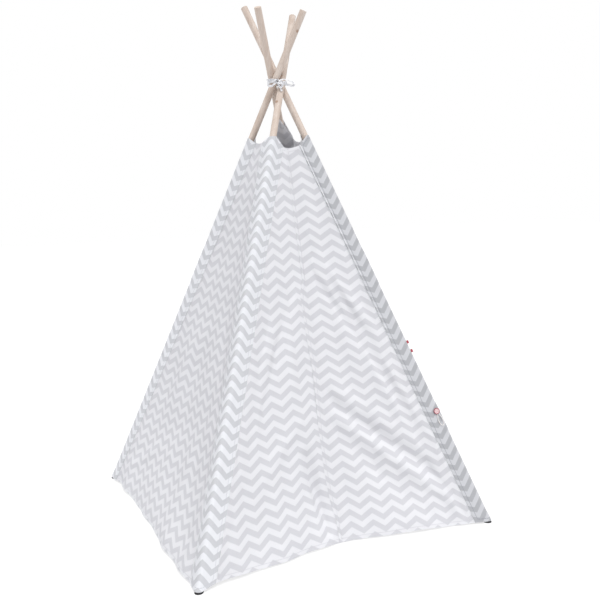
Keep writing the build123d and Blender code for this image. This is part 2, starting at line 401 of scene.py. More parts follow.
@dataclass(frozen=True)
class PrintedCotton(Finish):
    """Plain-weave cotton with a screen-printed grey zigzag: matt, faintly fuzzy, its ink soft as the cloth.

    Lengths are in metres: the rows' period, the zigzag's wavelength and rise, how large the ink's smudges and
    worn spots and the cloth's crumples are, the threads and the stitches. The ink's soft edge is given in
    shares of the period. Sheer is the share of the light that a single layer lets through.
    """

    name: str = "cotton_canvas_zigzag_print"
    light: str = "F6F6F9"
    dark: str = "DCDCE0"
    stitch: str = "DCDCE1"
    roughness: float = 0.92
    period: float = 0.0368
    wavelength: float = 0.064
    rise: float = 0.023
    ink_edge: tuple[float, float] = (0.215, 0.285)
    smudge: float = 0.0111
    smudge_reach: float = 0.0016
    wear: float = 0.00238
    crumple: float = 0.0417
    thread: float = 0.0012
    seam_inset: float = 0.011
    stitch_width: float = 0.0018
    stitch_length: float = 0.0036
    sheer: float = 0.3

    def zigzag(
        self, tree: bpy.types.NodeTree, u: bpy.types.NodeSocket, v: bpy.types.NodeSocket
    ) -> bpy.types.NodeSocket:
        """Draws the print from the cloth's own measure in metres.

        Args:
            tree: The material's node tree.
            u: The distance along the rows.
            v: The distance across them.

        Returns:
            0 on the white cloth and 1 on the ink, with a soft edge.
        """
        wave = node(tree, "Math", {0: u, 1: self.wavelength / 2}, operation="PINGPONG")
        steep = -2 * self.rise / self.wavelength
        zig = node(tree, "Math", {0: wave.outputs[0], 1: steep, 2: v}, operation="MULTIPLY_ADD")
        row = node(tree, "Math", {0: zig.outputs[0], 1: self.period}, operation="DIVIDE")
        stripe = node(tree, "Math", {0: row.outputs[0], 1: 0.5}, operation="PINGPONG")
        ink = node(
            tree,
            "MapRange",
            {"Value": stripe.outputs[0], "From Min": self.ink_edge[0], "From Max": self.ink_edge[1]},
            interpolation_type="SMOOTHSTEP",
        )
        return ink.outputs[0]

    def stitches(self, tree: bpy.types.NodeTree) -> bpy.types.NodeSocket:
        """Draws the sewn line that runs beside every cut edge, with a short gap between its stitches.

        Args:
            tree: The material's node tree.

        Returns:
            1 on a stitch and 0 elsewhere.
        """
        seam = node(tree, "UVMap", uv_map=SEAM_MAP)
        parts = node(tree, "SeparateXYZ", {0: seam.outputs[0]})
        line = {0: parts.outputs[0], 1: self.seam_inset, 2: self.stitch_width / 2}
        near = node(tree, "Math", line, operation="COMPARE")
        dash = node(tree, "Math", {0: parts.outputs[1], 1: self.stitch_length / 2}, operation="PINGPONG")
        gap = {0: dash.outputs[0], 1: self.stitch_length / 8}
        held = node(tree, "Math", gap, operation="GREATER_THAN")
        return node(tree, "Math", {0: near.outputs[0], 1: held.outputs[0]}, operation="MULTIPLY").outputs[0]

    def build(self) -> bpy.types.Material:
        """Makes the material.

        Returns:
            The material, which reads the cloth's print and seam UV maps.
        """
        material, tree, shader = self.start()
        cloth = node(tree, "UVMap", uv_map=PRINT_MAP)
        wander = node(tree, "TexNoise", {"Vector": cloth.outputs[0], "Scale": 1 / self.smudge, "Detail": 3.0})
        moved = node(
            tree,
            "VectorMath",
            {0: wander.outputs["Color"], 1: (self.smudge_reach, self.smudge_reach, 0.0), 2: cloth.outputs[0]},
            operation="MULTIPLY_ADD",
        )
        parts = node(tree, "SeparateXYZ", {0: moved.outputs[0]})
        ink = self.zigzag(tree, parts.outputs[0], parts.outputs[1])
        sewn = self.stitches(tree)
        worn = node(tree, "TexNoise", {"Vector": cloth.outputs[0], "Scale": 1 / self.wear, "Detail": 2.0})
        thin = node(
            tree,
            "MapRange",
            {"Value": worn.outputs["Fac"], "From Min": 0.3, "From Max": 0.75, "To Min": 1.0, "To Max": 0.86},
        )
        cover = node(tree, "Math", {0: ink, 1: thin.outputs[0]}, operation="MULTIPLY")
        cotton = {"Factor": cover.outputs[0], MIX_FIRST: linear(self.light), MIX_SECOND: linear(self.dark)}
        printed = node(tree, "Mix", cotton, data_type="RGBA")
        sewn_cotton = {"Factor": sewn, MIX_FIRST: printed.outputs[MIXED], MIX_SECOND: linear(self.stitch)}
        threads = node(tree, "Mix", sewn_cotton, data_type="RGBA")
        tree.links.new(threads.outputs[MIXED], shader.inputs["Base Color"])
        shader.inputs["Sheen Weight"].default_value = 0.12
        shader.inputs["Sheen Roughness"].default_value = 0.5
        weave = self.weave(tree, cloth.outputs[0])
        creases = node(
            tree, "TexNoise", {"Vector": cloth.outputs[0], "Scale": 1 / self.crumple, "Detail": 4.0}
        )
        normal = None
        # Each relief has a strength and a depth in metres.
        reliefs = ((creases.outputs["Fac"], 0.5, 0.004), (weave, 0.5, 0.0003), (sewn, 0.6, 0.0006))
        for height, strength, depth in reliefs:
            relief = {"Height": height, "Strength": strength, "Distance": depth}
            if normal:
                relief["Normal"] = normal
            normal = node(tree, "Bump", relief).outputs[0]
        tree.links.new(normal, shader.inputs["Normal"])
        through = node(tree, "BsdfTranslucent", {"Color": linear(self.light), "Normal": normal})
        lit = node(tree, "MixShader", {0: self.sheer, 1: shader.outputs[0], 2: through.outputs[0]})
        tree.links.new(lit.outputs[0], tree.nodes["Material Output"].inputs["Surface"])
        return material

    def weave(self, tree: bpy.types.NodeTree, place: bpy.types.NodeSocket) -> bpy.types.NodeSocket:
        """Draws the over-and-under of the threads, coarser than the real 0.5 mm so that it shows at all.

        Args:
            tree: The material's node tree.
            place: The cloth's own measure in metres.

        Returns:
            A height from -1 to 1.
        """
        parts = node(tree, "SeparateXYZ", {0: place})
        waves = []
        for across in parts.outputs[:2]:
            scaled = node(tree, "Math", {0: across, 1: 2 * math.pi / self.thread}, operation="MULTIPLY")
            waves.append(node(tree, "Math", {0: scaled.outputs[0]}, operation="SINE").outputs[0])
        return node(tree, "Math", {0: waves[0], 1: waves[1]}, operation="MULTIPLY").outputs[0]


@dataclass(frozen=True)
class PineDowel(Finish):
    """Sanded, unvarnished pine dowel: pale pinkish straw with long fine grain, slightly silky, with a dark
    brown spot or two.

    The grain and the broader bands are given by their width and length in metres, and the lean turns them to
    run along the pole.
    """

    name: str = "pine_dowel"
    light: str = "D3C6BC"
    dark: str = "C0AEA1"
    roughness: float = 0.55
    spot_colour: str = "9A7B66"
    grain: tuple[float, float] = (0.0032, 0.09)
    band: tuple[float, float] = (0.02, 0.4)
    lean: tuple[float, float] = (0.0, 0.0)
    dark_spots: tuple[tuple[float, float, float], ...] = ()
    dark_spot_radius: float = 0.0065

    def build(self) -> bpy.types.Material:
        """Makes the material.

        Returns:
            The material, whose grain runs along the pole's own axis.
        """
        material, tree, shader = self.start()
        here = node(tree, "TexCoord")
        upright = node(
            tree,
            "Mapping",
            {"Vector": here.outputs["Object"], "Rotation": (self.lean[1], 0.0, self.lean[0])},
        )
        grains = []
        for (width, length), detail, wave in ((self.grain, 5.0, 0.4), (self.band, 2.0, 0.0)):
            stretched = {"Vector": upright.outputs[0], "Scale": (1 / width, 1 / width, 1 / length)}
            place = node(tree, "Mapping", stretched)
            noise = {"Vector": place.outputs[0], "Scale": 1.0, "Detail": detail, "Distortion": wave}
            grains.append(node(tree, "TexNoise", noise))
        grain, band = grains
        both = {0: grain.outputs["Fac"], 1: 0.7, 2: band.outputs["Fac"]}
        mixed = node(tree, "Math", both, operation="MULTIPLY_ADD")
        tone = node(tree, "MapRange", {"Value": mixed.outputs[0], "From Min": 0.62, "From Max": 1.12})
        woods = {"Factor": tone.outputs[0], MIX_FIRST: linear(self.light), MIX_SECOND: linear(self.dark)}
        wood = node(tree, "Mix", woods, data_type="RGBA")
        colour = wood.outputs[MIXED]
        # Each dark spot blends the wood towards a brown over a small round patch.
        for knot in self.dark_spots:
            away = node(tree, "VectorMath", {0: here.outputs["Object"], 1: knot}, operation="DISTANCE")
            ends = {"From Min": self.dark_spot_radius * 0.55, "From Max": self.dark_spot_radius}
            fade = {"Value": away.outputs["Value"], **ends, "To Min": 0.8, "To Max": 0.0}
            spot = node(tree, "MapRange", fade, interpolation_type="SMOOTHSTEP")
            spotted = {"Factor": spot.outputs[0], MIX_FIRST: colour, MIX_SECOND: linear(self.spot_colour)}
            colour = node(tree, "Mix", spotted, data_type="RGBA").outputs[MIXED]
        tree.links.new(colour, shader.inputs["Base Color"])
        bump = node(tree, "Bump", {"Height": grain.outputs["Fac"], "Strength": 0.35, "Distance": 0.0004})
        tree.links.new(bump.outputs[0], shader.inputs["Normal"])
        return material


@dataclass(frozen=True)
class ZincSteel(Finish):
    """Drawn steel tube, zinc plated: bright grey with a soft gloss.

    Its faint lengthwise die lines are given by their width and length in metres.
    """

    name: str = "zinc_plated_steel_tube"
    light: str = "C9CBCD"
    dark: str = "A9ACAF"
    roughness: float = 0.32
    die_line: tuple[float, float] = (0.00111, 0.0167)

    def build(self) -> bpy.types.Material:
        """Makes the material.

        Returns:
            The material.
        """
        material, tree, shader = self.start()
        here = node(tree, "TexCoord")
        width, length = self.die_line
        place = node(
            tree,
            "Mapping",
            {"Vector": here.outputs["Object"], "Scale": (1 / width, 1 / width, 1 / length)},
        )
        lines = node(tree, "TexNoise", {"Vector": place.outputs[0], "Scale": 1.0, "Detail": 3.0})
        tones = {"Factor": lines.outputs["Fac"], MIX_FIRST: linear(self.light), MIX_SECOND: linear(self.dark)}
        tint = node(tree, "Mix", tones, data_type="RGBA")
        tree.links.new(tint.outputs[MIXED], shader.inputs["Base Color"])
        rough = node(tree, "MapRange", {"Value": lines.outputs["Fac"], "To Min": 0.24, "To Max": 0.42})
        tree.links.new(rough.outputs[0], shader.inputs["Roughness"])
        shader.inputs["Metallic"].default_value = 1.0
        shader.inputs["Specular IOR Level"].default_value = 0.5
        return material


@dataclass(frozen=True)
class MouldedRubber(Finish):
    """Moulded black rubber: dark grey, matt, with a fine pebbled skin that scuffs pale.

    The scuffs and the pebbles are given by their size in metres.
    """

    name: str = "moulded_rubber"
    light: str = "3A3A3C"
    dark: str = "202022"
    roughness: float = 0.8
    scuff: float = 0.00625
    pebble: float = 0.000714

    def build(self) -> bpy.types.Material:
        """Makes the material.

        Returns:
            The material.
        """
        material, tree, shader = self.start()
        here = node(tree, "TexCoord")
        scuffs = node(
            tree, "TexNoise", {"Vector": here.outputs["Object"], "Scale": 1 / self.scuff, "Detail": 4.0}
        )
        tint = node(
            tree,
            "Mix",
            {"Factor": scuffs.outputs["Fac"], MIX_FIRST: linear(self.dark), MIX_SECOND: linear(self.light)},
            data_type="RGBA",
        )
        tree.links.new(tint.outputs[MIXED], shader.inputs["Base Color"])
        skin = node(tree, "TexVoronoi", {"Vector": here.outputs["Object"], "Scale": 1 / self.pebble})
        bump = node(tree, "Bump", {"Height": skin.outputs["Distance"], "Strength": 0.3, "Distance": 0.0002})
        tree.links.new(bump.outputs[0], shader.inputs["Normal"])
        return material


@dataclass(frozen=True)
class TwillTape(Finish):
    """Woven cotton tape: matt, with slanting twill ribs about a millimetre apart, and darker in patches.

    The ribs and the patches are given by their size in metres, and how dark the patches get as a share.
    """

    name: str = "cotton_twill_tape"
    light: str = "F1F1F3"
    dark: str = "B9BBC2"
    roughness: float = 0.88
    rib: float = 0.0013
    patch: float = 0.0133
    patches: float = 0.5

    def build(self) -> bpy.types.Material:
        """Makes the material.

        Returns:
            The material, which reads the tape's own UV map in metres.
        """
        material, tree, shader = self.start()
        tape = node(tree, "UVMap", uv_map=PRINT_MAP)
        parts = node(tree, "SeparateXYZ", {0: tape.outputs[0]})
        slant = node(tree, "Math", {0: parts.outputs[0], 1: parts.outputs[1]}, operation="ADD")
        turns = node(tree, "Math", {0: slant.outputs[0], 1: 2 * math.pi / self.rib}, operation="MULTIPLY")
        ribs = node(tree, "Math", {0: turns.outputs[0]}, operation="SINE")
        blot = node(tree, "TexNoise", {"Vector": tape.outputs[0], "Scale": 1 / self.patch, "Detail": 2.0})
        spread = {"From Min": 0.45, "From Max": 0.55, "To Min": 0.0, "To Max": self.patches}
        mottle = node(tree, "MapRange", {"Value": blot.outputs["Fac"], **spread})
        tones = {"Factor": mottle.outputs[0], MIX_FIRST: linear(self.light), MIX_SECOND: linear(self.dark)}
        tint = node(tree, "Mix", tones, data_type="RGBA")
        tree.links.new(tint.outputs[MIXED], shader.inputs["Base Color"])
        bump = node(tree, "Bump", {"Height": ribs.outputs[0], "Strength": 0.5, "Distance": 0.0003})
        tree.links.new(bump.outputs[0], shader.inputs["Normal"])
        return material


@dataclass(frozen=True)
class CastButton(Finish):
    """Cast polyester button, polished: deep red with a soft wet gloss, its face covered by a cloudy pale pink
    painted highlight.

    Its deep red edge starts where the distance from the middle of its face passes the painted highlight's
    radius.
    """

    name: str = "cast_polyester_button"
    # The face's pale pinks are a painted highlight; the edge keeps the button's own deep red.
    light: str = "F0DCDD"
    dark: str = "DFB4B8"
    roughness: float = 0.28
    edge: str = "8E4650"
    centre: tuple[float, float, float] = (0.0, 0.0, 0.0)
    highlight_radius: float = 0.0072
    edge_blur: float = 0.0012
    cloud: float = 0.0077

    def build(self) -> bpy.types.Material:
        """Makes the material.

        Returns:
            The material.
        """
        material, tree, shader = self.start()
        here = node(tree, "TexCoord")
        clouds = node(
            tree, "TexNoise", {"Vector": here.outputs["Object"], "Scale": 1 / self.cloud, "Detail": 2.0}
        )
        # The cloudy pale pink of the face is a painted highlight.
        tint = node(
            tree,
            "Mix",
            {"Factor": clouds.outputs["Fac"], MIX_FIRST: linear(self.light), MIX_SECOND: linear(self.dark)},
            data_type="RGBA",
        )
        out = node(tree, "VectorMath", {0: here.outputs["Object"], 1: self.centre}, operation="DISTANCE")
        rim = node(
            tree,
            "MapRange",
            {
                "Value": out.outputs["Value"],
                "From Min": self.highlight_radius,
                "From Max": self.highlight_radius + self.edge_blur,
            },
        )
        rimmed = {"Factor": rim.outputs[0], MIX_FIRST: tint.outputs[MIXED], MIX_SECOND: linear(self.edge)}
        whole = node(tree, "Mix", rimmed, data_type="RGBA")
        tree.links.new(whole.outputs[MIXED], shader.inputs["Base Color"])
        wear = node(tree, "MapRange", {"Value": clouds.outputs["Fac"], "To Min": 0.22, "To Max": 0.4})
        tree.links.new(wear.outputs[0], shader.inputs["Roughness"])
        shader.inputs["Coat Weight"].default_value = 0.25
        return material


@dataclass(frozen=True)
class BraidedCord(Finish):
    """Braided cotton cord: matt and pale, with crossing plaits about 2 mm long, and painted shade darkening
    it into the grooves between them.
    """

    name: str = "braided_cotton_cord"
    light: str = "F4F2F0"
    dark: str = "C9C4C2"
    roughness: float = 0.85
    plait: float = 0.002

    def build(self) -> bpy.types.Material:
        """Makes the material.

        Returns:
            The material.
        """
        material, tree, shader = self.start()
        here = node(tree, "TexCoord")
        plaits = node(tree, "TexVoronoi", {"Vector": here.outputs["Object"], "Scale": 1 / self.plait})
        # Painted shade: the cord darkens where its bump sinks, in the grooves between the plaits.
        tint = node(
            tree,
            "Mix",
            {
                "Factor": plaits.outputs["Distance"],
                MIX_FIRST: linear(self.light),
                MIX_SECOND: linear(self.dark),
            },
            data_type="RGBA",
        )
        tree.links.new(tint.outputs[MIXED], shader.inputs["Base Color"])
        bump = node(
            tree,
            "Bump",
            {"Height": plaits.outputs["Distance"], "Strength": 0.6, "Distance": 0.0004},
            invert=True,
        )
        tree.links.new(bump.outputs[0], shader.inputs["Normal"])
        return material


# ---------------------------------------------------------------------------
# Cloth
# ---------------------------------------------------------------------------


@dataclass(frozen=True)
class Fold:
    """A soft ridge or hollow in a wall, along a line between two points on it, in metres."""

    start: tuple[float, float]
    end: tuple[float, float]
    width: float
    height: float
    blunt: float = 0.12

    def lift(self, u: np.ndarray, v: np.ndarray) -> np.ndarray:
        """Gives how far the fold lifts the cloth.

        Args:
            u: Distances across the wall.
            v: Distances up it.

        Returns:
            The lifts.
        """
        a, b = np.array(self.start), np.array(self.end)
        line = b - a
        t = np.clip(((u - a[0]) * line[0] + (v - a[1]) * line[1]) / (line @ line), 0.0, 1.0)
        away = np.hypot(u - a[0] - t * line[0], v - a[1] - t * line[1])
        swell = np.sin(math.pi * (self.blunt + (1 - 2 * self.blunt) * t))
        return self.height * np.exp(-((away / self.width) ** 2)) * swell


@dataclass(frozen=True)
class Drape:
    """How a wall's cloth leaves its flat plane: a sag, the rise over its poles, folds and a fine unevenness.

    The sag is full where the wall is wide enough, and the hem's stitching holds most of it back. The
    unevenness is a sum of long low waves, set by chance but mostly across the wall, that ends at the seams.
    Each wave drifts a little sideways on its way up.
    """

    sag: float = 0.02
    folds: tuple[Fold, ...] = ()
    seed: int = 1
    crest: float = 0.0100
    crest_reach: float = 0.075
    full_width: float = 0.55
    hem_share: float = 0.1
    hem_reach: float = 0.34
    rumple: float = 0.0024
    waves: int = 26
    shortest: float = 0.05
    longest: float = 0.24
    steepness: float = 1.2
    scatter: float = 0.5
    stretched: float = 0.6
    drift: float = 0.25
    drift_beat: tuple[float, float] = (9.0, 3.0)
    calm: tuple[float, float] = (0.036, 0.10)

    def smooth(self, side: Side, u: np.ndarray, v: np.ndarray) -> np.ndarray:
        """Gives the sag and the rise over the poles.

        Args:
            side: Which wall.
            u: Distances across the wall.
            v: Distances up it.

        Returns:
            The lifts.
        """
        left, right = (LAYOUT.pole_line(side, which, v) for which in (-1, 1))
        steep = math.hypot(1.0, LAYOUT.pole_slope(side, 1))
        near = np.minimum((u - left), (right - u)) / steep
        middle = 2 * (u - left) / (right - left) - 1
        wide = np.clip((right - left) / LAYOUT.base, 0.0, 1.0)
        freed = self.hem_share + (1 - self.hem_share) * ease(v, 0.0, self.hem_reach)
        hollow = self.sag * (1 - middle**2) * ease(wide, 0.0, self.full_width) * freed
        return self.crest * np.exp(-((near / self.crest_reach) ** 2)) - hollow

    def rough(self, side: Side, u: np.ndarray, v: np.ndarray) -> np.ndarray:
        """Gives the folds and the unevenness, which die out towards the poles.

        Args:
            side: Which wall.
            u: Distances across the wall.
            v: Distances up it.

        Returns:
            The lifts.
        """
        lifts = sum((fold.lift(u, v) for fold in self.folds), np.zeros_like(u))
        dice = np.random.default_rng(self.seed)
        for _ in range(self.waves):
            length = dice.uniform(self.shortest, self.longest)
            turn = dice.normal(0.0, self.scatter)
            phase = dice.uniform(0, 2 * math.pi)
            size = self.rumple / 2 * (length / self.longest) ** self.steepness
            along = u * math.cos(turn) + v * math.sin(turn) * self.stretched
            drift = self.drift * np.sin(self.drift_beat[0] * v + self.drift_beat[1] * phase)
            lifts = lifts + size * np.sin(2 * math.pi * along / length + phase + drift)
        near = np.minimum(u - LAYOUT.pole_line(side, -1, v), LAYOUT.pole_line(side, 1, v) - u)
        return lifts * ease(near, *self.calm)


@dataclass(frozen=True)
class PrintLay:
    """How the print lies on a sheet: a tilt of its rows, a stretch along them and where it starts."""

    tilt: float = 0.0
    stretch: float = 1.0
    shift: tuple[float, float] = (0.0, 0.0)

    def lay(self, u: np.ndarray, v: np.ndarray) -> np.ndarray:
        """Turns places on a wall to places on the print.

        Args:
            u: Distances across the wall.
            v: Distances up it.

        Returns:
            The print's own coordinates, one row each.
        """
        return np.stack((u * self.stretch + self.shift[0], v + self.tilt * u + self.shift[1]), axis=1)


@dataclass(frozen=True)
class Panel:
    """One stretch of the cover: where it hangs, how its cloth lies and how its print runs over it."""

    side: Side
    half: Half
    drape: Drape
    lay: PrintLay = PrintLay()

    @property
    def label(self) -> str:
        """The panel's name as the nodes have it."""
        return self.side.label if self.half is Half.WHOLE else self.half.name.lower()


@dataclass
class Patch:
    """Points of a sheet on a grid: their places, and their print and seam coordinates."""

    points: np.ndarray
    printed: np.ndarray
    seam: np.ndarray


def distances(line: np.ndarray) -> np.ndarray:
    """Measures along a line.

    Args:
        line: Its points, one row each.

    Returns:
        Each point's distance from the first one.
    """
    return np.concatenate(([0.0], np.cumsum(np.linalg.norm(np.diff(line, axis=0), axis=1))))


def clear_selection() -> None:
    """Leaves nothing selected and no mesh in edit mode."""
    if bpy.context.mode != "OBJECT":
        bpy.ops.object.mode_set(mode="OBJECT")
    bpy.ops.object.select_all(action="DESELECT")


def activate(piece: bpy.types.Object) -> None:
    """Selects one piece alone and makes it active.

    Args:
        piece: The piece.
    """
    clear_selection()
    piece.select_set(True)
    bpy.context.view_layer.objects.active = piece


def finish_with(piece: bpy.types.Object, kind: str, **settings: object) -> None:
    """Adds a modifier to a piece and applies it.

    Args:
        piece: The piece.
        kind: The modifier's type.
        **settings: Its settings.
    """
    activate(piece)
    modifier = piece.modifiers.new(kind.lower(), kind)
    for name, value in settings.items():
        setattr(modifier, name, value)
    bpy.ops.object.modifier_apply(modifier=modifier.name)


def weld(piece: bpy.types.Object, gap: float, turn_out: bool = False) -> None:
    """Merges the points of a piece that lie together.

    Args:
        piece: The piece.
        gap: The most that they lie apart.
        turn_out: Whether the faces are then turned outwards.
    """
    activate(piece)
    bpy.ops.object.mode_set(mode="EDIT")
    bpy.ops.mesh.select_all(action="SELECT")
    bpy.ops.mesh.remove_doubles(threshold=gap)
    if turn_out:
        bpy.ops.mesh.normals_make_consistent(inside=False)
    bpy.ops.object.mode_set(mode="OBJECT")


def join(name: str, pieces: list[bpy.types.Object]) -> bpy.types.Object:
    """Joins pieces into one.

    Args:
        name: The name that the whole gets.
        pieces: The pieces.

    Returns:
        The whole.
    """
    activate(pieces[0])
    for piece in pieces:
        piece.select_set(True)
    if len(pieces) > 1:
        bpy.ops.object.join()
    pieces[0].name = pieces[0].data.name = name
    return pieces[0]


def add_grid(columns: int, rows: int, shape: Callable[[np.ndarray, np.ndarray], Patch]) -> bpy.types.Object:
    """Adds a grid and lays its points out.

    Args:
        columns: Faces across.
        rows: Faces up.
        shape: Gives the points for s across and t up, each from 0 to 1.

    Returns:
        The grid, with its UV maps.
    """
    clear_selection()
    bpy.ops.mesh.primitive_grid_add(x_subdivisions=columns, y_subdivisions=rows, size=1.0, calc_uvs=False)
    grid = bpy.context.object
    mesh = grid.data
    places = np.zeros(len(mesh.vertices) * 3)
    mesh.vertices.foreach_get("co", places)
    s, t, _ = places.reshape(-1, 3).T + 0.5
    patch = shape(s, t)
    mesh.vertices.foreach_set("co", patch.points.ravel())
    corner = np.zeros(len(mesh.loops), int)
    mesh.loops.foreach_get("vertex_index", corner)
    for name, values in ((PRINT_MAP, patch.printed), (SEAM_MAP, patch.seam)):
        mesh.uv_layers.new(name=name).data.foreach_set("uv", values[corner].ravel())
    mesh.update()
    return grid


def sew(name: str, grids: list[bpy.types.Object]) -> bpy.types.Object:
    """Joins grids that share their edges into one sheet.

    Args:
        name: The sheet's name.
        grids: The grids.

    Returns:
        The sheet.
    """
    sheet = join(name, grids)
    if len(grids) > 1:
        weld(sheet, 0.2 * MM)
    return sheet


def flat_area(piece: bpy.types.Object) -> float:
    """Adds up a sheet's area in its own flat measure.

    Args:
        piece: The sheet, before it has its thickness.

    Returns:
        The area in square metres.
    """
    uv = piece.data.uv_layers[PRINT_MAP].data
    total = 0.0
    for face in piece.data.polygons:
        corners = [uv[i].uv for i in face.loop_indices]
        total += abs(sum(a.x * b.y - b.x * a.y for a, b in zip(corners, corners[1:] + corners[:1]))) / 2
    return total


def thicken(piece: bpy.types.Object, thickness: float = CLOTH) -> None:
    """Gives a sheet its thickness and its shading; a second finish, if it has one, goes on its inner side.

    Args:
        piece: The sheet.
        thickness: Its thickness, half to each side.
    """
    inner = max(len(piece.data.materials) - 1, 0)
    finish_with(piece, "SOLIDIFY", thickness=thickness, offset=0.0, material_offset=inner)
    bpy.ops.object.shade_smooth_by_angle(angle=math.radians(40.0))


def dress(piece: bpy.types.Object, *finishes: bpy.types.Material) -> None:
    """Gives a piece its material, or its outer and inner ones.

    Args:
        piece: The piece.
        finishes: The materials.
    """
    piece.data.materials.clear()
    for finish in finishes:
        piece.data.materials.append(finish)


def stand_for(piece: bpy.types.Object, solid: str, body: str) -> None:
    """Lets a piece stand for a solid and move with its body.

    Args:
        piece: The piece.
        solid: The node that it replaces.
        body: The body that it rides on.
    """
    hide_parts(solid)
    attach(piece, body)


def report(piece: bpy.types.Object, note: str) -> None:
    """Logs a finished piece.

    Args:
        piece: The piece.
        note: What is said about it.
    """
    log.info("%s: %s", piece.name, note)


@dataclass
class Fabric:
    """The cover's own rules: cloth spacing, and the edges that every wall is cut to.

    A hem is given as places over its wall, from -1 to 1, with their heights, and runs softly between them.
    A top edge is scooped between the tops of its two casings, and dips by half its pull.
    """

    spacing: float = 0.0065
    width: float = 0.90
    height: float = 1.26
    tuck: float = 0.036
    hems: dict[Side, tuple[tuple[float, float], ...]] = field(
        default_factory=lambda: {
            Side.FRONT: (
                (-1.0, 0.012), (-0.85, 0.015), (-0.66, 0.016), (-0.44, 0.0165), (-0.2, 0.0275), (0.1, 0.027),
                (0.35, 0.020), (0.5, 0.020), (0.72, 0.010), (1.0, 0.004),
            ),
            Side.RIGHT: ((-1.0, 0.006), (-0.5, 0.020), (0.1, 0.026), (0.6, 0.018), (1.0, 0.006)),
            Side.BACK: ((-1.0, 0.006), (-0.6, 0.016), (-0.1, 0.024), (0.5, 0.019), (1.0, 0.005)),
            Side.LEFT: ((-1.0, 0.004), (-0.7, 0.008), (-0.35, 0.004), (0.1, 0.002), (1.0, 0.002)),
        }
    )
    hem_ease: float = 0.07
    edge_drop: float = 0.008
    sleeve_tops: dict[Corner, float] = field(
        default_factory=lambda: {
            Corner.FRONT_LEFT: 1.232,
            Corner.FRONT_RIGHT: 1.237,
            Corner.BACK_RIGHT: 1.296,
            Corner.BACK_LEFT: 1.232,
        }
    )
    dips: dict[Side, float] = field(
        default_factory=lambda: {Side.FRONT: 0.031, Side.RIGHT: 0.040, Side.BACK: 0.052, Side.LEFT: 0.014}
    )

    def hem(self, side: Side, across: np.ndarray) -> np.ndarray:
        """Gives the hem's height up the slope, rising and falling as the loose cloth does.

        Args:
            side: Which wall.
            across: From -1 to 1 over the wall.

        Returns:
            The heights.
        """
        places, heights = zip(*self.hems[side])
        shifts = (-self.hem_ease, 0.0, self.hem_ease)
        return sum(np.interp(across + shift, places, heights) for shift in shifts) / len(shifts)

    def across(self, side: Side, u: np.ndarray, v: np.ndarray) -> np.ndarray:
        """Gives how far over a wall places lie.

        Args:
            side: Which wall.
            u: Distances across from the middle.
            v: Distances up the slope.

        Returns:
            From -1 on the left pole's axis to 1 on the right one's.
        """
        left, right = LAYOUT.pole_line(side, -1, v), LAYOUT.pole_line(side, 1, v)
        return (2 * u - left - right) / (right - left)

    def top(self, side: Side, across: np.ndarray) -> np.ndarray:
        """Gives the scooped top edge's height up the slope.

        Args:
            side: Which wall.
            across: From -1 to 1 over the wall.

        Returns:
            The heights.
        """
        tops = (self.sleeve_tops[corner] / math.cos(LAYOUT.tilt) for corner in side.corners)
        left, right = (top - self.edge_drop for top in tops)
        s = (np.clip(across, -1, 1) + 1) / 2
        pull = (left + right) / 2 - 2 * self.dips[side]
        return (1 - s) ** 2 * left + 2 * s * (1 - s) * pull + s**2 * right


FABRIC = Fabric()


@dataclass
class PlainWall:
    """A closed wall: one trapezoid of cloth between two poles."""

    panel: Panel
    flat: tuple[float, float] = (0.92, 1.27)
    stand_off: float = 0.0006
    rounds: int = 5

    def shape(self, s: np.ndarray, t: np.ndarray) -> Patch:
        """Lays the wall's points out between its seams, hem and top edge.

        Args:
            s: From 0 at the left seam to 1 at the right one.
            t: From 0 at the hem to 1 at the top edge.

        Returns:
            The points.
        """
        side, drape = self.panel.side, self.panel.drape
        v = t * FABRIC.sleeve_tops[Corner.BACK_RIGHT]
        for _ in range(self.rounds):
            left, right = (LAYOUT.seam_line(side, which, v, FABRIC.tuck) for which in (-1, 1))
            u = left + s * (right - left)
            across = FABRIC.across(side, u, v)
            low, high = FABRIC.hem(side, across), FABRIC.top(side, across)
            v = low + t * (high - low)
        lift = self.stand_off + drape.smooth(side, u, v) + drape.rough(side, u, v)
        points = LAYOUT.place(side, Half.WHOLE, u, v, lift)
        return Patch(points, self.panel.lay.lay(u, v), np.stack((np.minimum(v - low, high - v), u), axis=1))

    def build(self, cotton: tuple[bpy.types.Material, ...]) -> bpy.types.Object:
        """Makes the wall.

        Args:
            cotton: The materials of its outer and inner sides.

        Returns:
            The piece.
        """
        name = f"wall_{self.panel.label}"
        columns, rows = round(FABRIC.width / FABRIC.spacing), round(FABRIC.height / FABRIC.spacing)
        piece = sew(f"{name}_cloth", [add_grid(columns, rows, self.shape)])
        area = flat_area(piece)
        dress(piece, *cotton)
        thicken(piece)
        stand_for(piece, name, name)
        poles = [f"pole_lower_{corner.label}" for corner in self.panel.side.corners]
        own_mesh(piece)
        report(piece, f"{area:.3f} m2 of cloth")
        return piece


# A line up a wall: it gives distances across for heights up the slope.
Line = Callable[[np.ndarray], np.ndarray]


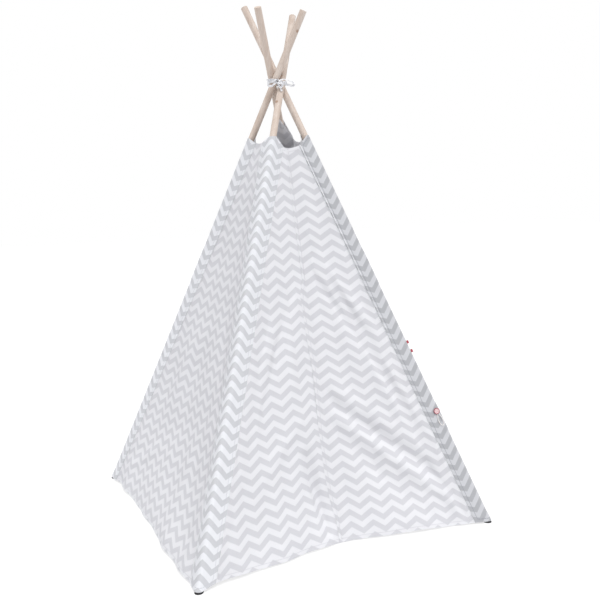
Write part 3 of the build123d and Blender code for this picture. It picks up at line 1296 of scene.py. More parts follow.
@dataclass
class FrontHalf:
    """A front half: the strip beside its pole, the yoke above the slit and the door flap between.

    The edge gives heights up the slope, with how far the free edge runs past the tent's middle there. The
    cloth is calm beside the middle and the crease, and the flap's foot kicks out a little over the floor.
    """

    panel: Panel
    stand_off: float
    edge: tuple[tuple[float, float], ...]
    kick: float = 0.010
    kick_reach: float = 0.12
    kick_width: float = 0.16
    calm_edge: tuple[float, float] = (0.006, 0.045)
    calm_crease: tuple[float, float] = (0.004, 0.030)
    calm_below_slit: float = 0.08
    panel_flat: tuple[float, float] = (0.17, 1.33)
    door_flat: tuple[float, float] = (0.47, 1.0)
    door_width: float = 0.42
    strip_columns: int = 20
    lap_columns: int = 4
    first_guess: float = 0.6
    rounds: int = 4

    @property
    def half(self) -> Half:
        """Which half this is."""
        return self.panel.half

    @property
    def sign(self) -> int:
        """The half's side of the middle: -1 for the left one, 1 for the right one."""
        return self.half.value

    def edge_past_middle(self, v: np.ndarray) -> np.ndarray:
        """Gives how far the half's free edge runs past the tent's middle, at heights up the slope."""
        heights, reaches = zip(*self.edge)
        return np.interp(v, heights, reaches)

    def face(
        self, u: np.ndarray, v: np.ndarray, past: np.ndarray, low: np.ndarray, high: np.ndarray
    ) -> Patch:
        """Places points of the half, with its lap turned to lie along the other half.

        Args:
            u: Distances across, up to the middle.
            v: Distances up the slope.
            past: Distances past the middle, 0 for the half's own side.
            low: The hem's heights under the points.
            high: The top edge's heights over the points.

        Returns:
            The points.
        """
        drape, crease = self.panel.drape, self.crease(v)
        middle = self.middle(v)
        folded_over = self.half is Half.RIGHT
        own = np.where(past > 0, middle - self.sign * past, u)
        placed = np.where(past > 0, middle + self.sign * past, u) if folded_over else own
        calm = ease(np.where(past > 0, 0.0, np.abs(u - middle)), *self.calm_edge)
        hinged = ease(LAYOUT.slit_top - v, 0.0, self.calm_below_slit)
        calm = calm * (1 - hinged * (1 - ease(np.abs(u - crease), *self.calm_crease)))
        kicked = np.exp(-((v / self.kick_reach) ** 2))
        kicked = kicked * ease((crease - own) * self.sign, 0.0, self.kick_width)
        lift = self.stand_off + drape.smooth(Side.FRONT, placed, v)
        lift = lift + drape.rough(Side.FRONT, own, v) * calm + self.kick * kicked
        points = LAYOUT.place(Side.FRONT, self.half, placed, v, lift)
        if folded_over:
            points[past > 0, 0] *= -1
        free = (own - middle) * self.sign + self.edge_past_middle(v)
        cut = np.minimum(v - low, high - v)
        seam = np.stack((np.minimum(cut, free), np.where(free < cut, v, own)), axis=1)
        return Patch(points, self.panel.lay.lay(own, v), seam)

    def rows(self, bottom: float, top: float) -> int:
        """Gives how many faces a stretch of the half has up it."""
        return round((min(top, FABRIC.height) - bottom) / FABRIC.spacing)

    def between(self, inner: Line, outer: Line, bottom: float, top: float, columns: int) -> bpy.types.Object:
        """Lays a grid between two lines up the half.

        Args:
            inner: The line nearer the middle.
            outer: The line nearer the pole.
            bottom: The lowest height, or HEM.
            top: The highest height, or TOP_EDGE.
            columns: Faces across.

        Returns:
            The grid.
        """
        first, last = (inner, outer) if self.sign > 0 else (outer, inner)

        def shape(s: np.ndarray, t: np.ndarray) -> Patch:
            """Lays the points out between the lines and the cut edges.

            Args:
                s: From 0 at the left line to 1 at the right one.
                t: From 0 at the bottom to 1 at the top.

            Returns:
                The points.
            """
            v = np.full_like(s, self.first_guess)
            for _ in range(self.rounds):
                u = first(v) + s * (last(v) - first(v))
                across = FABRIC.across(Side.FRONT, u, v)
                low, high = FABRIC.hem(Side.FRONT, across), FABRIC.top(Side.FRONT, across)
                start, end = np.maximum(low, bottom), np.minimum(high, top)
                v = start + t * (end - start)
            u = first(v) + s * (last(v) - first(v))
            return self.face(u, v, np.zeros_like(u), low, high)

        return add_grid(columns, self.rows(bottom, top), shape)

    def lapped(self, bottom: float, top: float) -> bpy.types.Object:
        """Lays a grid over the lap, from the middle to the free edge.

        Args:
            bottom: The lowest height, or HEM.
            top: The highest height, or TOP_EDGE.

        Returns:
            The grid.
        """

        def shape(s: np.ndarray, t: np.ndarray) -> Patch:
            """Lays the points out over the lap.

            Args:
                s: From 0 at its left side to 1 at its right one.
                t: From 0 at the bottom to 1 at the top.

            Returns:
                The points.
            """
            inward, middle = 1 - s if self.sign > 0 else s, np.zeros_like(s)
            low, high = FABRIC.hem(Side.FRONT, middle), FABRIC.top(Side.FRONT, middle)
            start, end = np.maximum(low, bottom), np.minimum(high, top)
            v = start + t * (end - start)
            return self.face(self.middle(v), v, inward * self.edge_past_middle(v), low, high)

        return add_grid(self.lap_columns, self.rows(bottom, top), shape)

    def middle(self, v: np.ndarray) -> np.ndarray:
        """Gives the line where the half meets the tent's middle."""
        return LAYOUT.middle_line(self.half, v)

    def seam(self, v: np.ndarray) -> np.ndarray:
        """Gives the line where the half goes under its pole's casing."""
        return LAYOUT.seam_line(Side.FRONT, self.sign, v, FABRIC.tuck)

    def crease(self, v: np.ndarray) -> np.ndarray:
        """Gives the line that the door flap folds back about, which meets the middle at the slit's top.

        Args:
            v: Distances up the slope.

        Returns:
            Distances across.
        """
        share = LAYOUT.crease(v) / LAYOUT.crease_foot
        apex = LAYOUT.middle_line(self.half, np.array(LAYOUT.slit_top))
        return self.sign * LAYOUT.crease_foot * share + apex * (1 - share)

    def hang(
        self,
        name: str,
        grids: list[bpy.types.Object],
        body: str,
        cotton: tuple[bpy.types.Material, ...],
        flat: tuple[float, float],
    ) -> bpy.types.Object:
        """Makes a piece of the half from its grids and gives it its place among the nodes.

        Args:
            name: The node that it stands for.
            grids: The grids.
            body: The body that it rides on.
            cotton: The materials of its outer and inner sides.
            flat: The width and length that it was cut from; not used.

        Returns:
            The piece.
        """
        piece = sew(f"{name}_cloth", grids)
        area = flat_area(piece) / self.panel.lay.stretch
        dress(piece, *cotton)
        thicken(piece)
        stand_for(piece, name, body)
        pole = f"pole_lower_{Side.FRONT.corners[(self.sign + 1) // 2].label}"
        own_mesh(piece)
        report(piece, f"{area:.3f} m2 of cloth")
        return piece

    def build(self, cotton: tuple[bpy.types.Material, ...]) -> list[bpy.types.Object]:
        """Makes the half's panel and its door flap.

        Args:
            cotton: The materials of their outer and inner sides.

        Returns:
            The two pieces.
        """
        label, split = self.panel.label, LAYOUT.slit_top
        strip = self.between(self.crease, self.seam, HEM, split, self.strip_columns)
        yoke = self.between(self.middle, self.seam, split, TOP_EDGE, self.strip_columns)
        collar = self.lapped(split, TOP_EDGE)
        name = f"front_panel_{label}"
        panel = self.hang(name, [strip, yoke, collar], "wall_front", cotton, self.panel_flat)
        flap = self.between(self.middle, self.crease, HEM, split, round(self.door_width / FABRIC.spacing))
        edge = self.lapped(HEM, split)
        door = self.hang(f"door_flap_{label}", [flap, edge], f"door_{label}", cotton, self.door_flat)
        return [panel, door]


@dataclass(frozen=True)
class Swell:
    """A stretch of a casing that stands further out, over what it covers, in metres up the pole."""

    low: float
    high: float
    rise: float
    slope: float = 0.012

    def at(self, along: float) -> float:
        """Gives the swell's height at a distance up the pole.

        Args:
            along: The distance.

        Returns:
            The height.
        """
        place = np.array(along)
        up = ease(place, self.low - self.slope, self.low)
        return float(self.rise * up * (1 - ease(place, self.high, self.high + self.slope)))


OVER_FOOT_CAP = Swell(-0.10, 0.020, 0.0015)
OVER_FERRULE = Swell(0.848, 0.952, 0.0011)
UNDER_BUTTON = Swell(0.325, 0.408, 0.0017)


@dataclass
class Casing:
    """A pole's casing: a tube of cloth that hugs the pole, with a flange sewn down on each wall beside it.

    Its section runs from the first wall's seam over the tube to the second one's, and back behind the pole
    as a lining. The flanges gather a little, in a sum of small waves with chance phases.
    """

    corner: Corner
    panels: tuple[Panel, Panel]
    seed: int
    swells: tuple[Swell, ...] = (OVER_FOOT_CAP, OVER_FERRULE)
    flange_steps: int = 8
    tube_steps: int = 14
    lining_steps: int = 10
    step: float = 0.009
    lining_gap: float = 0.0026
    lining_depth: float = 0.001
    over_wall: float = 0.0020
    over_lap: float = 0.0032
    past_ends: tuple[float, float] = (-0.03, 0.05)
    gather: float = 0.0006
    gather_waves: int = 6
    gather_beat: tuple[float, float, float] = (38.0, 23.0, 60.0)
    gather_from: tuple[float, float] = (0.0145, 0.030)
    cloth: float = 0.001
    first_guesses: tuple[float, float] = (0.02, 1.26)
    rounds: int = 6

    @property
    def columns(self) -> int:
        """How many points go round a section."""
        return 2 * self.flange_steps + self.tube_steps + self.lining_steps + 2

    def hand(self, index: int) -> int:
        """Gives which of a wall's two poles this one is: 1 for the first wall, -1 for the second."""
        return 1 - 2 * index

    def seam_point(self, index: int, centre: np.ndarray) -> np.ndarray:
        """Gives where the casing is sewn to a wall, level with a point of the pole.

        Args:
            index: 0 or 1, for the wall.
            centre: A point of the pole's axis.

        Returns:
            The point, just off the wall's outer face.
        """
        panel, which = self.panels[index], self.hand(index)
        side, half = panel.side, panel.half
        origin, _, up_slope, _ = LAYOUT.wall(side)
        slope = LAYOUT.pole_slope(side, which)
        v = np.array([(centre - origin) @ up_slope + which * slope * LAYOUT.seam / math.hypot(1.0, slope)])
        u = LAYOUT.seam_line(side, which, v, LAYOUT.seam)
        stand_off = self.over_lap if half is Half.RIGHT else self.over_wall
        return LAYOUT.place(side, half, u, v, panel.drape.smooth(side, u, v) + stand_off)[0]

    def section(self, along: float) -> tuple[np.ndarray, np.ndarray]:
        """Draws the casing's closed section at a distance up the pole.

        Args:
            along: The distance.

        Returns:
            The section's points and their distances round it, from the pole's outer side.
        """
        axis = LAYOUT.axis(self.corner)
        centre = LAYOUT.foot(self.corner) + axis * along
        outward = LAYOUT.off_pole(self.corner, self.corner.value)
        sideways = np.cross(axis, outward)
        radius = LAYOUT.casing_radius + sum(swell.at(along) for swell in self.swells)
        seams, turns = [], []
        for index in (0, 1):
            arm = self.seam_point(index, centre) - centre
            seam = np.array((arm @ outward, arm @ sideways))
            angle = math.atan2(seam[1], seam[0])
            turns.append(angle - math.copysign(math.acos(radius / float(np.hypot(*seam))), angle))
            seams.append(seam)
        angles = np.linspace(turns[0], turns[1], self.tube_steps + 1)
        tube = radius * np.stack((np.cos(angles), np.sin(angles)), axis=1)
        share = np.arange(self.flange_steps)[:, None] / self.flange_steps
        first = seams[0] + (tube[0] - seams[0]) * share
        last = seams[1] + (tube[-1] - seams[1]) * share
        ends = [seam * (1 - self.lining_gap / np.hypot(*seam)) for seam in seams]
        middle = unit(seams[0] + seams[1]) * -self.lining_depth
        t = np.linspace(0, 1, self.lining_steps + 1)[:, None]
        lining = (1 - t) ** 2 * ends[1] + 2 * t * (1 - t) * middle + t**2 * ends[0]
        flat = np.vstack((first, tube, last[::-1], lining))
        around = distances(flat)
        around -= around[self.flange_steps + self.tube_steps // 2]
        return centre + np.outer(flat[:, 0], outward) + np.outer(flat[:, 1], sideways), around

    def ends(self) -> tuple[np.ndarray, np.ndarray]:
        """Gives each column's lowest and highest point, which follow the walls' hem and top edge.

        Returns:
            The heights above the floor.
        """
        edges = []
        for index, panel in enumerate(self.panels):
            pair = []
            for cut, v in zip((FABRIC.hem, FABRIC.top), self.first_guesses):
                for _ in range(self.rounds):
                    height = np.array(v)
                    u = LAYOUT.seam_line(panel.side, self.hand(index), height, LAYOUT.seam)
                    v = float(cut(panel.side, FABRIC.across(panel.side, u, height)))
                pair.append(v * math.cos(LAYOUT.tilt))
            edges.append(pair)
        reach = np.concatenate(
            (
                1 - np.arange(self.flange_steps) / self.flange_steps,
                np.zeros(self.tube_steps + 1),
                np.arange(1, self.flange_steps + 1) / self.flange_steps,
                np.abs(np.linspace(-1, 1, self.lining_steps + 1)),
            )
        )
        turn = np.concatenate(
            (
                np.zeros(self.flange_steps),
                np.linspace(0, 1, self.tube_steps + 1),
                np.ones(self.flange_steps),
                np.linspace(1, 0, self.lining_steps + 1),
            )
        )
        tube = (LAYOUT.casing_foot, FABRIC.sleeve_tops[self.corner])
        low, high = (
            tube[k] * (1 - reach) + (edges[0][k] * (1 - turn) + edges[1][k] * turn) * reach for k in (0, 1)
        )
        return low, high

    def build(self, cotton: tuple[bpy.types.Material, ...]) -> bpy.types.Object:
        """Makes the casing.

        Args:
            cotton: The materials of its outer and inner sides.

        Returns:
            The piece.
        """
        label = self.corner.label
        axis = LAYOUT.axis(self.corner)
        length = FABRIC.sleeve_tops[self.corner] / axis[2]
        stations = np.arange(self.past_ends[0], length + self.past_ends[1], self.step)
        sections = [self.section(along) for along in stations]
        places = np.array([points for points, _ in sections])
        rounds = np.array([around for _, around in sections])
        low, high = self.ends()
        phases = np.random.default_rng(self.seed).uniform(0, 2 * math.pi, self.gather_waves)
        flange_end = 2 * self.flange_steps + self.tube_steps

        def shape(s: np.ndarray, t: np.ndarray) -> Patch:
            """Lays the points out round and up the pole.

            Args:
                s: From 0 to 1 round the section.
                t: From 0 at the foot to 1 at the top.

            Returns:
                The points.
            """
            drawn = np.rint(s * self.columns).astype(int)
            points, along, around, edge = (np.zeros((len(s), 3)), *np.zeros((3, len(s))))
            height = low[drawn % self.columns] + t * (high - low)[drawn % self.columns]
            for column in range(self.columns + 1):
                here, own = drawn == column, column % self.columns
                where = np.interp(height[here], places[:, own, 2], stations)
                along[here] = where
                placed = [np.interp(where, stations, places[:, own, axis_index]) for axis_index in range(3)]
                points[here] = np.stack(placed, axis=1)
                last = self.lining_gap if column == self.columns else 0.0
                across = rounds[:, column if column < self.columns else -1] + last
                around[here] = np.interp(where, stations, across)
                beside = np.minimum(rounds[:, flange_end] - across, across - rounds[:, 0])
                edge[here] = np.interp(where, stations, beside)
            away = points - LAYOUT.foot(self.corner) - np.outer(along, axis)
            reach = np.linalg.norm(away, axis=1)
            first, more, turning = self.gather_beat
            waves = (along * (first + more * i) + around * turning + phase for i, phase in enumerate(phases))
            soft = sum(np.sin(wave) / (i + 2) for i, wave in enumerate(waves))
            gathers = self.gather * soft * ease(reach, *self.gather_from)
            points = points + away / reach[:, None] * gathers[:, None]
            cut = np.minimum(t, 1 - t) * length
            # A crest of the print runs up the middle of the casing.
            flat = np.stack((around + PrintedCotton.wavelength / 2, along), axis=1)
            return Patch(points, flat, np.stack((np.minimum(cut, edge), along), axis=1))

        piece = sew(f"sleeve_{label}_cloth", [add_grid(self.columns, round(length / self.step), shape)])
        weld(piece, 0.1 * MM, turn_out=True)
        round_it = float((rounds[:, -1] - rounds[:, 0]).max()) + self.lining_gap
        dress(piece, *cotton)
        thicken(piece, self.cloth)
        stand_for(piece, f"sleeve_{label}", f"pole_{label}")
        report(piece, f"{round_it:.3f} m round")
        return piece


# ---------------------------------------------------------------------------
# The tie, and the small fittings
# ---------------------------------------------------------------------------


@dataclass
class Ribbon:
    """A flat tape that follows a line: its width lies along given directions."""

    name: str
    line: np.ndarray
    broad: np.ndarray
    width: float
    thickness: float = 0.0011
    columns: int = 6

    @property
    def length(self) -> float:
        """How long the tape is."""
        return float(distances(self.line)[-1])

    def build(self, finish: bpy.types.Material, cup: float = 0.0) -> bpy.types.Object:
        """Makes the tape.

        Args:
            finish: Its material.
            cup: How far its middle bows out of flat.

        Returns:
            The piece, with the tape's own UV map in metres.
        """
        line, broad = self.line, self.broad / np.linalg.norm(self.broad, axis=1)[:, None]
        along = distances(line)
        normal = np.cross(np.gradient(line, axis=0), broad)
        normal /= np.linalg.norm(normal, axis=1)[:, None]
        count = len(line) - 1

        def shape(s: np.ndarray, t: np.ndarray) -> Patch:
            """Lays the points out along the tape.

            Args:
                s: From 0 to 1 over its width.
                t: From 0 to 1 along it.

            Returns:
                The points.
            """
            row = np.rint(t * count).astype(int)
            side = (s - 0.5) * self.width
            bow = cup * (1 - (2 * s - 1) ** 2)
            points = line[row] + broad[row] * side[:, None] + normal[row] * bow[:, None]
            flat = np.stack((side, along[row]), axis=1)
            return Patch(points, flat, flat)

        piece = sew(self.name, [add_grid(self.columns, count, shape)])
        thicken(piece, self.thickness)
        dress(piece, finish)
        return piece


def flowing(points: list[tuple[float, float, float]], count: int) -> np.ndarray:
    """Draws a smooth line through points.

    Args:
        points: The points.
        count: How many points the line gets.

    Returns:
        The line's points.
    """
    through = np.array(points, float)
    before, after = 2 * through[0] - through[1], 2 * through[-1] - through[-2]
    through = np.vstack((before, through, after))
    spans = len(through) - 3
    made = []
    for value in np.linspace(0, spans, count):
        i = min(int(value), spans - 1)
        t = value - i
        a, b, c, d = through[i : i + 4]
        bend = (2 * a - 5 * b + 4 * c - d) * t**2 + (3 * b - a - 3 * c + d) * t**3
        made.append(0.5 * (2 * b + (c - a) * t + bend))
    return np.array(made)


# A route given point by point, in millimetres.
Route = tuple[tuple[float, ...], ...]


@dataclass
class Tie:
    """The tape round the crossing, and the bow on its front.

    The tape wobbles up and down and leans in and out on its way round, as it would by hand. Each run of the
    bow starts at the knot. Its points, like the knot's own half width, half height and depth and its ripple,
    are in millimetres to the right, up and out from there.
    """

    turns: int = 2
    pitch: float = 0.0062
    width: float = 0.0056
    bow_width: float = 0.0064
    knot_width: float = 0.0085
    clearance: float = 0.0024
    bow_angle: float = -114.0
    wrap_rise: float = -0.005
    bow_rise: float = -0.004
    bow_reach: float = 0.004
    step: float = 6.0
    slack: float = 1.1
    wobble: float = 0.0008
    wobble_beat: float = 2.3
    lean: float = 0.12
    lean_beats: tuple[float, float] = (1.7, 1.3)
    bow_turn: tuple[float, float] = (0.55, 0.5)
    cups: tuple[float, float, float] = (0.0006, 0.0005, 0.0012)
    run_points: int = 44
    knot: tuple[float, float, float] = (5.2, 5.8, 2.0)
    knot_ripple: float = 0.4
    knot_lean: float = 0.2
    runs: dict[str, Route] = field(
        default_factory=lambda: {
            "loop_right": (
                (3, 0, 0), (16, 5, 4), (32, 4, 6), (46, -2, 5), (54, -10, 3),
                (49, -15, 2), (36, -12, 2), (19, -7, 3), (4, -2, 2),
            ),
            "loop_left": (
                (-3, 0, 0), (-12, 2, 4), (-21, 0, 5), (-28, -6, 4),
                (-27, -13, 2), (-18, -14, 2), (-9, -8, 3), (-3, -2, 2),
            ),
            "loop_small": (
                (2, -3, 2), (6, -6, 4), (13, -6, 5), (17, -12, 5),
                (13, -18, 4), (7, -18, 4), (4, -12, 4), (3, -5, 4),
            ),
            "end_left": ((-2, 1, 1), (-11, 4, 3), (-21, 5, 4), (-33, 5, 3)),
            "end_right": ((2, -3, 1), (6, -12, 3), (11, -22, 4), (14, -31, 3)),
        }
    )

    def hull(self, rise: float, angle: float) -> np.ndarray:
        """Gives a point of the tape where it goes round the four poles.

        Args:
            rise: The height above the crossing.
            angle: The direction from the tent's middle, in degrees.

        Returns:
            The point.
        """
        direction = level(angle)
        lean = LAYOUT.base / math.sqrt(2) / LAYOUT.crossing_height
        best = 0.0
        for corner in Corner:
            centre = LAYOUT.crossing(corner) - level(corner.value - LAYOUT.twist) * rise * lean
            best = max(best, float(centre @ direction) + LAYOUT.pole_radius * self.slack)
        return direction * (best + self.clearance) + UP * (LAYOUT.crossing_height + rise)

    def wrap(self, tape: bpy.types.Material) -> bpy.types.Object:
        """Makes the turns round the crossing as one run of tape.

        Args:
            tape: Its material.

        Returns:
            The piece.
        """
        angles = np.arange(0, 360 * self.turns + 1, self.step)
        turned = np.radians(angles)
        rises = self.wrap_rise - self.pitch * self.turns / 2 + self.pitch * angles / 360
        rises = rises + self.wobble * np.sin(self.wobble_beat * turned)
        line = np.array([self.hull(rise, self.bow_angle + angle) for rise, angle in zip(rises, angles)])
        first, second = (beat * turned for beat in self.lean_beats)
        lean = np.stack((np.sin(first), np.cos(second), np.zeros_like(angles)), axis=1)
        ribbon = Ribbon("tie_wrap_tape", line, UP + self.lean * lean, self.width)
        piece = ribbon.build(tape, self.cups[0])
        stand_for(piece, "tie_wrap", "lashing")
        poles = [f"pole_upper_{corner.label}" for corner in Corner]
        report(piece, f"{ribbon.length:.3f} m of tape")
        return piece

    def bow(self, tape: bpy.types.Material) -> bpy.types.Object:
        """Makes the bow: a knot, two loops and two ends, in one piece.

        Args:
            tape: Its material.

        Returns:
            The piece.
        """
        right, out = level(self.bow_angle + 90.0), level(self.bow_angle)
        seat = self.hull(self.bow_rise, self.bow_angle) + out * self.bow_reach

        def spot(x: float, y: float, z: float) -> tuple[float, float, float]:
            """Gives the place that lies x, y and z mm to the right, up and out from the knot's seat."""
            return tuple(seat + (right * x + UP * y + out * z) * MM)

        ribbons = []
        for index, (label, points) in enumerate(self.runs.items()):
            line = flowing([spot(*point) for point in points], self.run_points)
            swing = np.sin(2 * math.pi * np.linspace(0, 1, len(line)) + index)
            turn = self.bow_turn[0] + self.bow_turn[1] * swing
            flat = np.cross(np.gradient(line, axis=0), out)
            flat /= np.linalg.norm(flat, axis=1)[:, None]
            broad = flat * np.cos(turn)[:, None] + out * np.sin(turn)[:, None]
            ribbons.append(Ribbon(f"bow_{label}", line, broad, self.bow_width))
        wide, high, deep = self.knot
        angles = np.radians(np.arange(0, 361, 15.0))
        depths = deep + self.knot_ripple * np.sin(3 * angles)
        ring = [spot(wide * math.cos(a), high * math.sin(a), depth) for a, depth in zip(angles, depths)]
        broad = np.tile(out + self.knot_lean * right, (len(ring), 1))
        knot = Ribbon("bow_knot", np.array(ring), broad, self.knot_width)
        cloth = sum(ribbon.length for ribbon in ribbons) + knot.length * self.knot_width / self.bow_width
        pieces = [ribbon.build(tape, self.cups[1]) for ribbon in ribbons]
        piece = join("tie_bow_tape", [*pieces, knot.build(tape, self.cups[2])])
        stand_for(piece, "tie_bow", "lashing")
        report(piece, f"{cloth:.3f} m of tape")
        return piece


@dataclass
class TieBack:
    """The door's tie-back on the front right casing: a sewn button, a cord loop and two folded tabs.

    The loop's route is in millimetres down from the button and across, and a tab's in millimetres across and
    out of the cloth.
    """

    height: float = 0.352
    direction: float = -100.0
    face_reach: float = 0.0185
    loop_reach: float = 0.0141
    cord_radius: float = 0.0013
    cord_rise: float = 0.0019
    cord_length: float = 0.098
    loop_route: Route = (
        (9, -1.6), (16, -5.0), (30, -7.5), (44, -6.5), (51.5, 0), (44, 6.5), (30, 7.5), (16, 5.0), (9, 1.6),
    )
    tab_heights: tuple[float, float] = (0.538, 0.566)
    tab_direction: float = -30.0
    tab_reach: float = 0.0124
    tab_width: float = 0.010
    tab_thickness: float = 0.0008
    tab_points: int = 30
    tab_route: Route = (
        (-1.0, -1.5), (-1.1, 2.0), (-1.2, 4.4), (-0.7, 5.9), (0.0, 6.3),
        (0.7, 5.9), (1.2, 4.4), (1.1, 2.0), (1.0, -1.5),
    )

    def seat(
        self, height: float, direction: float, reach: float
    ) -> tuple[np.ndarray, np.ndarray, np.ndarray]:
        """Gives a place on the casing's surface.

        Args:
            height: Its height above the floor.
            direction: The level direction that it faces, in degrees.
            reach: The surface's distance from the pole's axis there.

        Returns:
            The point, the direction up the pole and the direction out of the cloth.
        """
        axis = LAYOUT.axis(Corner.FRONT_RIGHT)
        along = LAYOUT.foot(Corner.FRONT_RIGHT) + axis * height / axis[2]
        out = LAYOUT.off_pole(Corner.FRONT_RIGHT, direction)
        return along + out * reach, axis, out

    def loop(self, cord: bpy.types.Material) -> bpy.types.Object:
        """Makes the cord loop that hangs from under the button.

        Args:
            cord: Its material.

        Returns:
            The piece.
        """
        place, axis, out = self.seat(self.height, self.direction, self.loop_reach)
        side, start = np.cross(axis, out), place + out * self.cord_rise
        route = [start + (side * across - axis * down) * MM for down, across in self.loop_route]
        curve = bpy.data.curves.new("tie_back_loop_cord", "CURVE")
        curve.dimensions = "3D"
        spline = curve.splines.new("NURBS")
        spline.points.add(len(route) - 1)
        for point, where in zip(spline.points, route):
            point.co = (*where, 1.0)
        spline.order_u = 3
        spline.use_endpoint_u = True
        curve.bevel_depth = self.cord_radius
        curve.bevel_resolution = 3
        curve.resolution_u = 10
        curve.use_fill_caps = True
        piece = bpy.data.objects.new("tie_back_loop_cord", curve)
        bpy.context.scene.collection.objects.link(piece)
        curve.materials.append(cord)
        stand_for(piece, "tie_back_loop", "pole_front_right")
        report(piece, f"{self.cord_length} m of cord")
        return piece

    def tabs(self, tape: bpy.types.Material) -> bpy.types.Object:
        """Makes the two folded tabs.

        Args:
            tape: Their material.

        Returns:
            The piece.
        """
        ribbons = []
        for index, height in enumerate(self.tab_heights):
            place, axis, out = self.seat(height, self.tab_direction, self.tab_reach)
            side = np.cross(axis, out)
            points = [tuple(place + (side * x + out * z) * MM) for x, z in self.tab_route]
            line, broad = flowing(points, self.tab_points), np.tile(axis, (self.tab_points, 1))
            ribbons.append(Ribbon(f"tab_{index}", line, broad, self.tab_width, self.tab_thickness))
        piece = join("sleeve_tabs_tape", [ribbon.build(tape) for ribbon in ribbons])
        stand_for(piece, "sleeve_tabs", "pole_front_right")
        length = ribbons[-1].length * len(ribbons)
        report(piece, f"{length:.3f} m of tape")
        return piece

    def button(self) -> None:
        """Gives the button, which keeps its own shape, its finish."""
        face = self.seat(self.height, self.direction, self.face_reach)[0]
        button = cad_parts["tie_back_button"]
        dress(button, CastButton(centre=tuple(float(value) for value in face)).build())
        report(button, "dressed")


# ---------------------------------------------------------------------------
# The wooden frame
# ---------------------------------------------------------------------------


@dataclass
class PoleSet:
    """The four poles with their ferrules and foot caps, which keep their own shapes and get their finishes.

    A dark spot is given by its distance up the pole and the level direction that it faces. Its middle lies
    just under the pole's surface.
    """

    dark_spot_reach: float = 0.010
    dark_spots: dict[Corner, tuple[tuple[float, float], ...]] = field(
        default_factory=lambda: {
            Corner.BACK_LEFT: ((1.735, -70.0),),
            Corner.FRONT_RIGHT: (),
            Corner.BACK_RIGHT: ((1.483, -125.0),),
            Corner.FRONT_LEFT: ((1.487, -150.0), (1.580, -150.0)),
        }
    )

    def dress(self) -> None:
        """Gives every rigid node its finish."""
        steel, rubber = ZincSteel().build(), MouldedRubber().build()
        for corner in Corner:
            axis, foot = LAYOUT.axis(corner), LAYOUT.foot(corner)
            dark_spots = (
                tuple(foot + axis * along + LAYOUT.off_pole(corner, direction) * self.dark_spot_reach)
                for along, direction in self.dark_spots[corner]
            )
            lean = (math.pi / 2 - math.atan2(axis[1], axis[0]), -math.acos(axis[2]))
            pine = PineDowel(name=f"pine_dowel_{corner.label}", lean=lean, dark_spots=tuple(dark_spots)).build()
            parts = {"pole_lower": pine, "pole_upper": pine, "ferrule": steel, "foot_cap": rubber}
            for part, finish in parts.items():
                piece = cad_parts[f"{part}_{corner.label}"]
                dress(piece, finish)
                report(piece, "dressed")


# ---------------------------------------------------------------------------
# The studio
# ---------------------------------------------------------------------------


@dataclass(frozen=True)
class Lamp:
    """A soft distant lamp: the way to it from the tent, its strength, and how wide it looks, in degrees."""

    name: str
    towards: tuple[float, float, float]
    strength: float
    spread: float

    def build(self) -> None:
        """Adds the lamp."""
        data = bpy.data.lights.new(self.name, "SUN")
        data.energy = self.strength
        data.angle = math.radians(self.spread)
        lamp = bpy.data.objects.new(self.name, data)
        lamp.rotation_euler = Vector(self.towards).to_track_quat("Z", "Y").to_euler()
        bpy.context.scene.collection.objects.link(lamp)


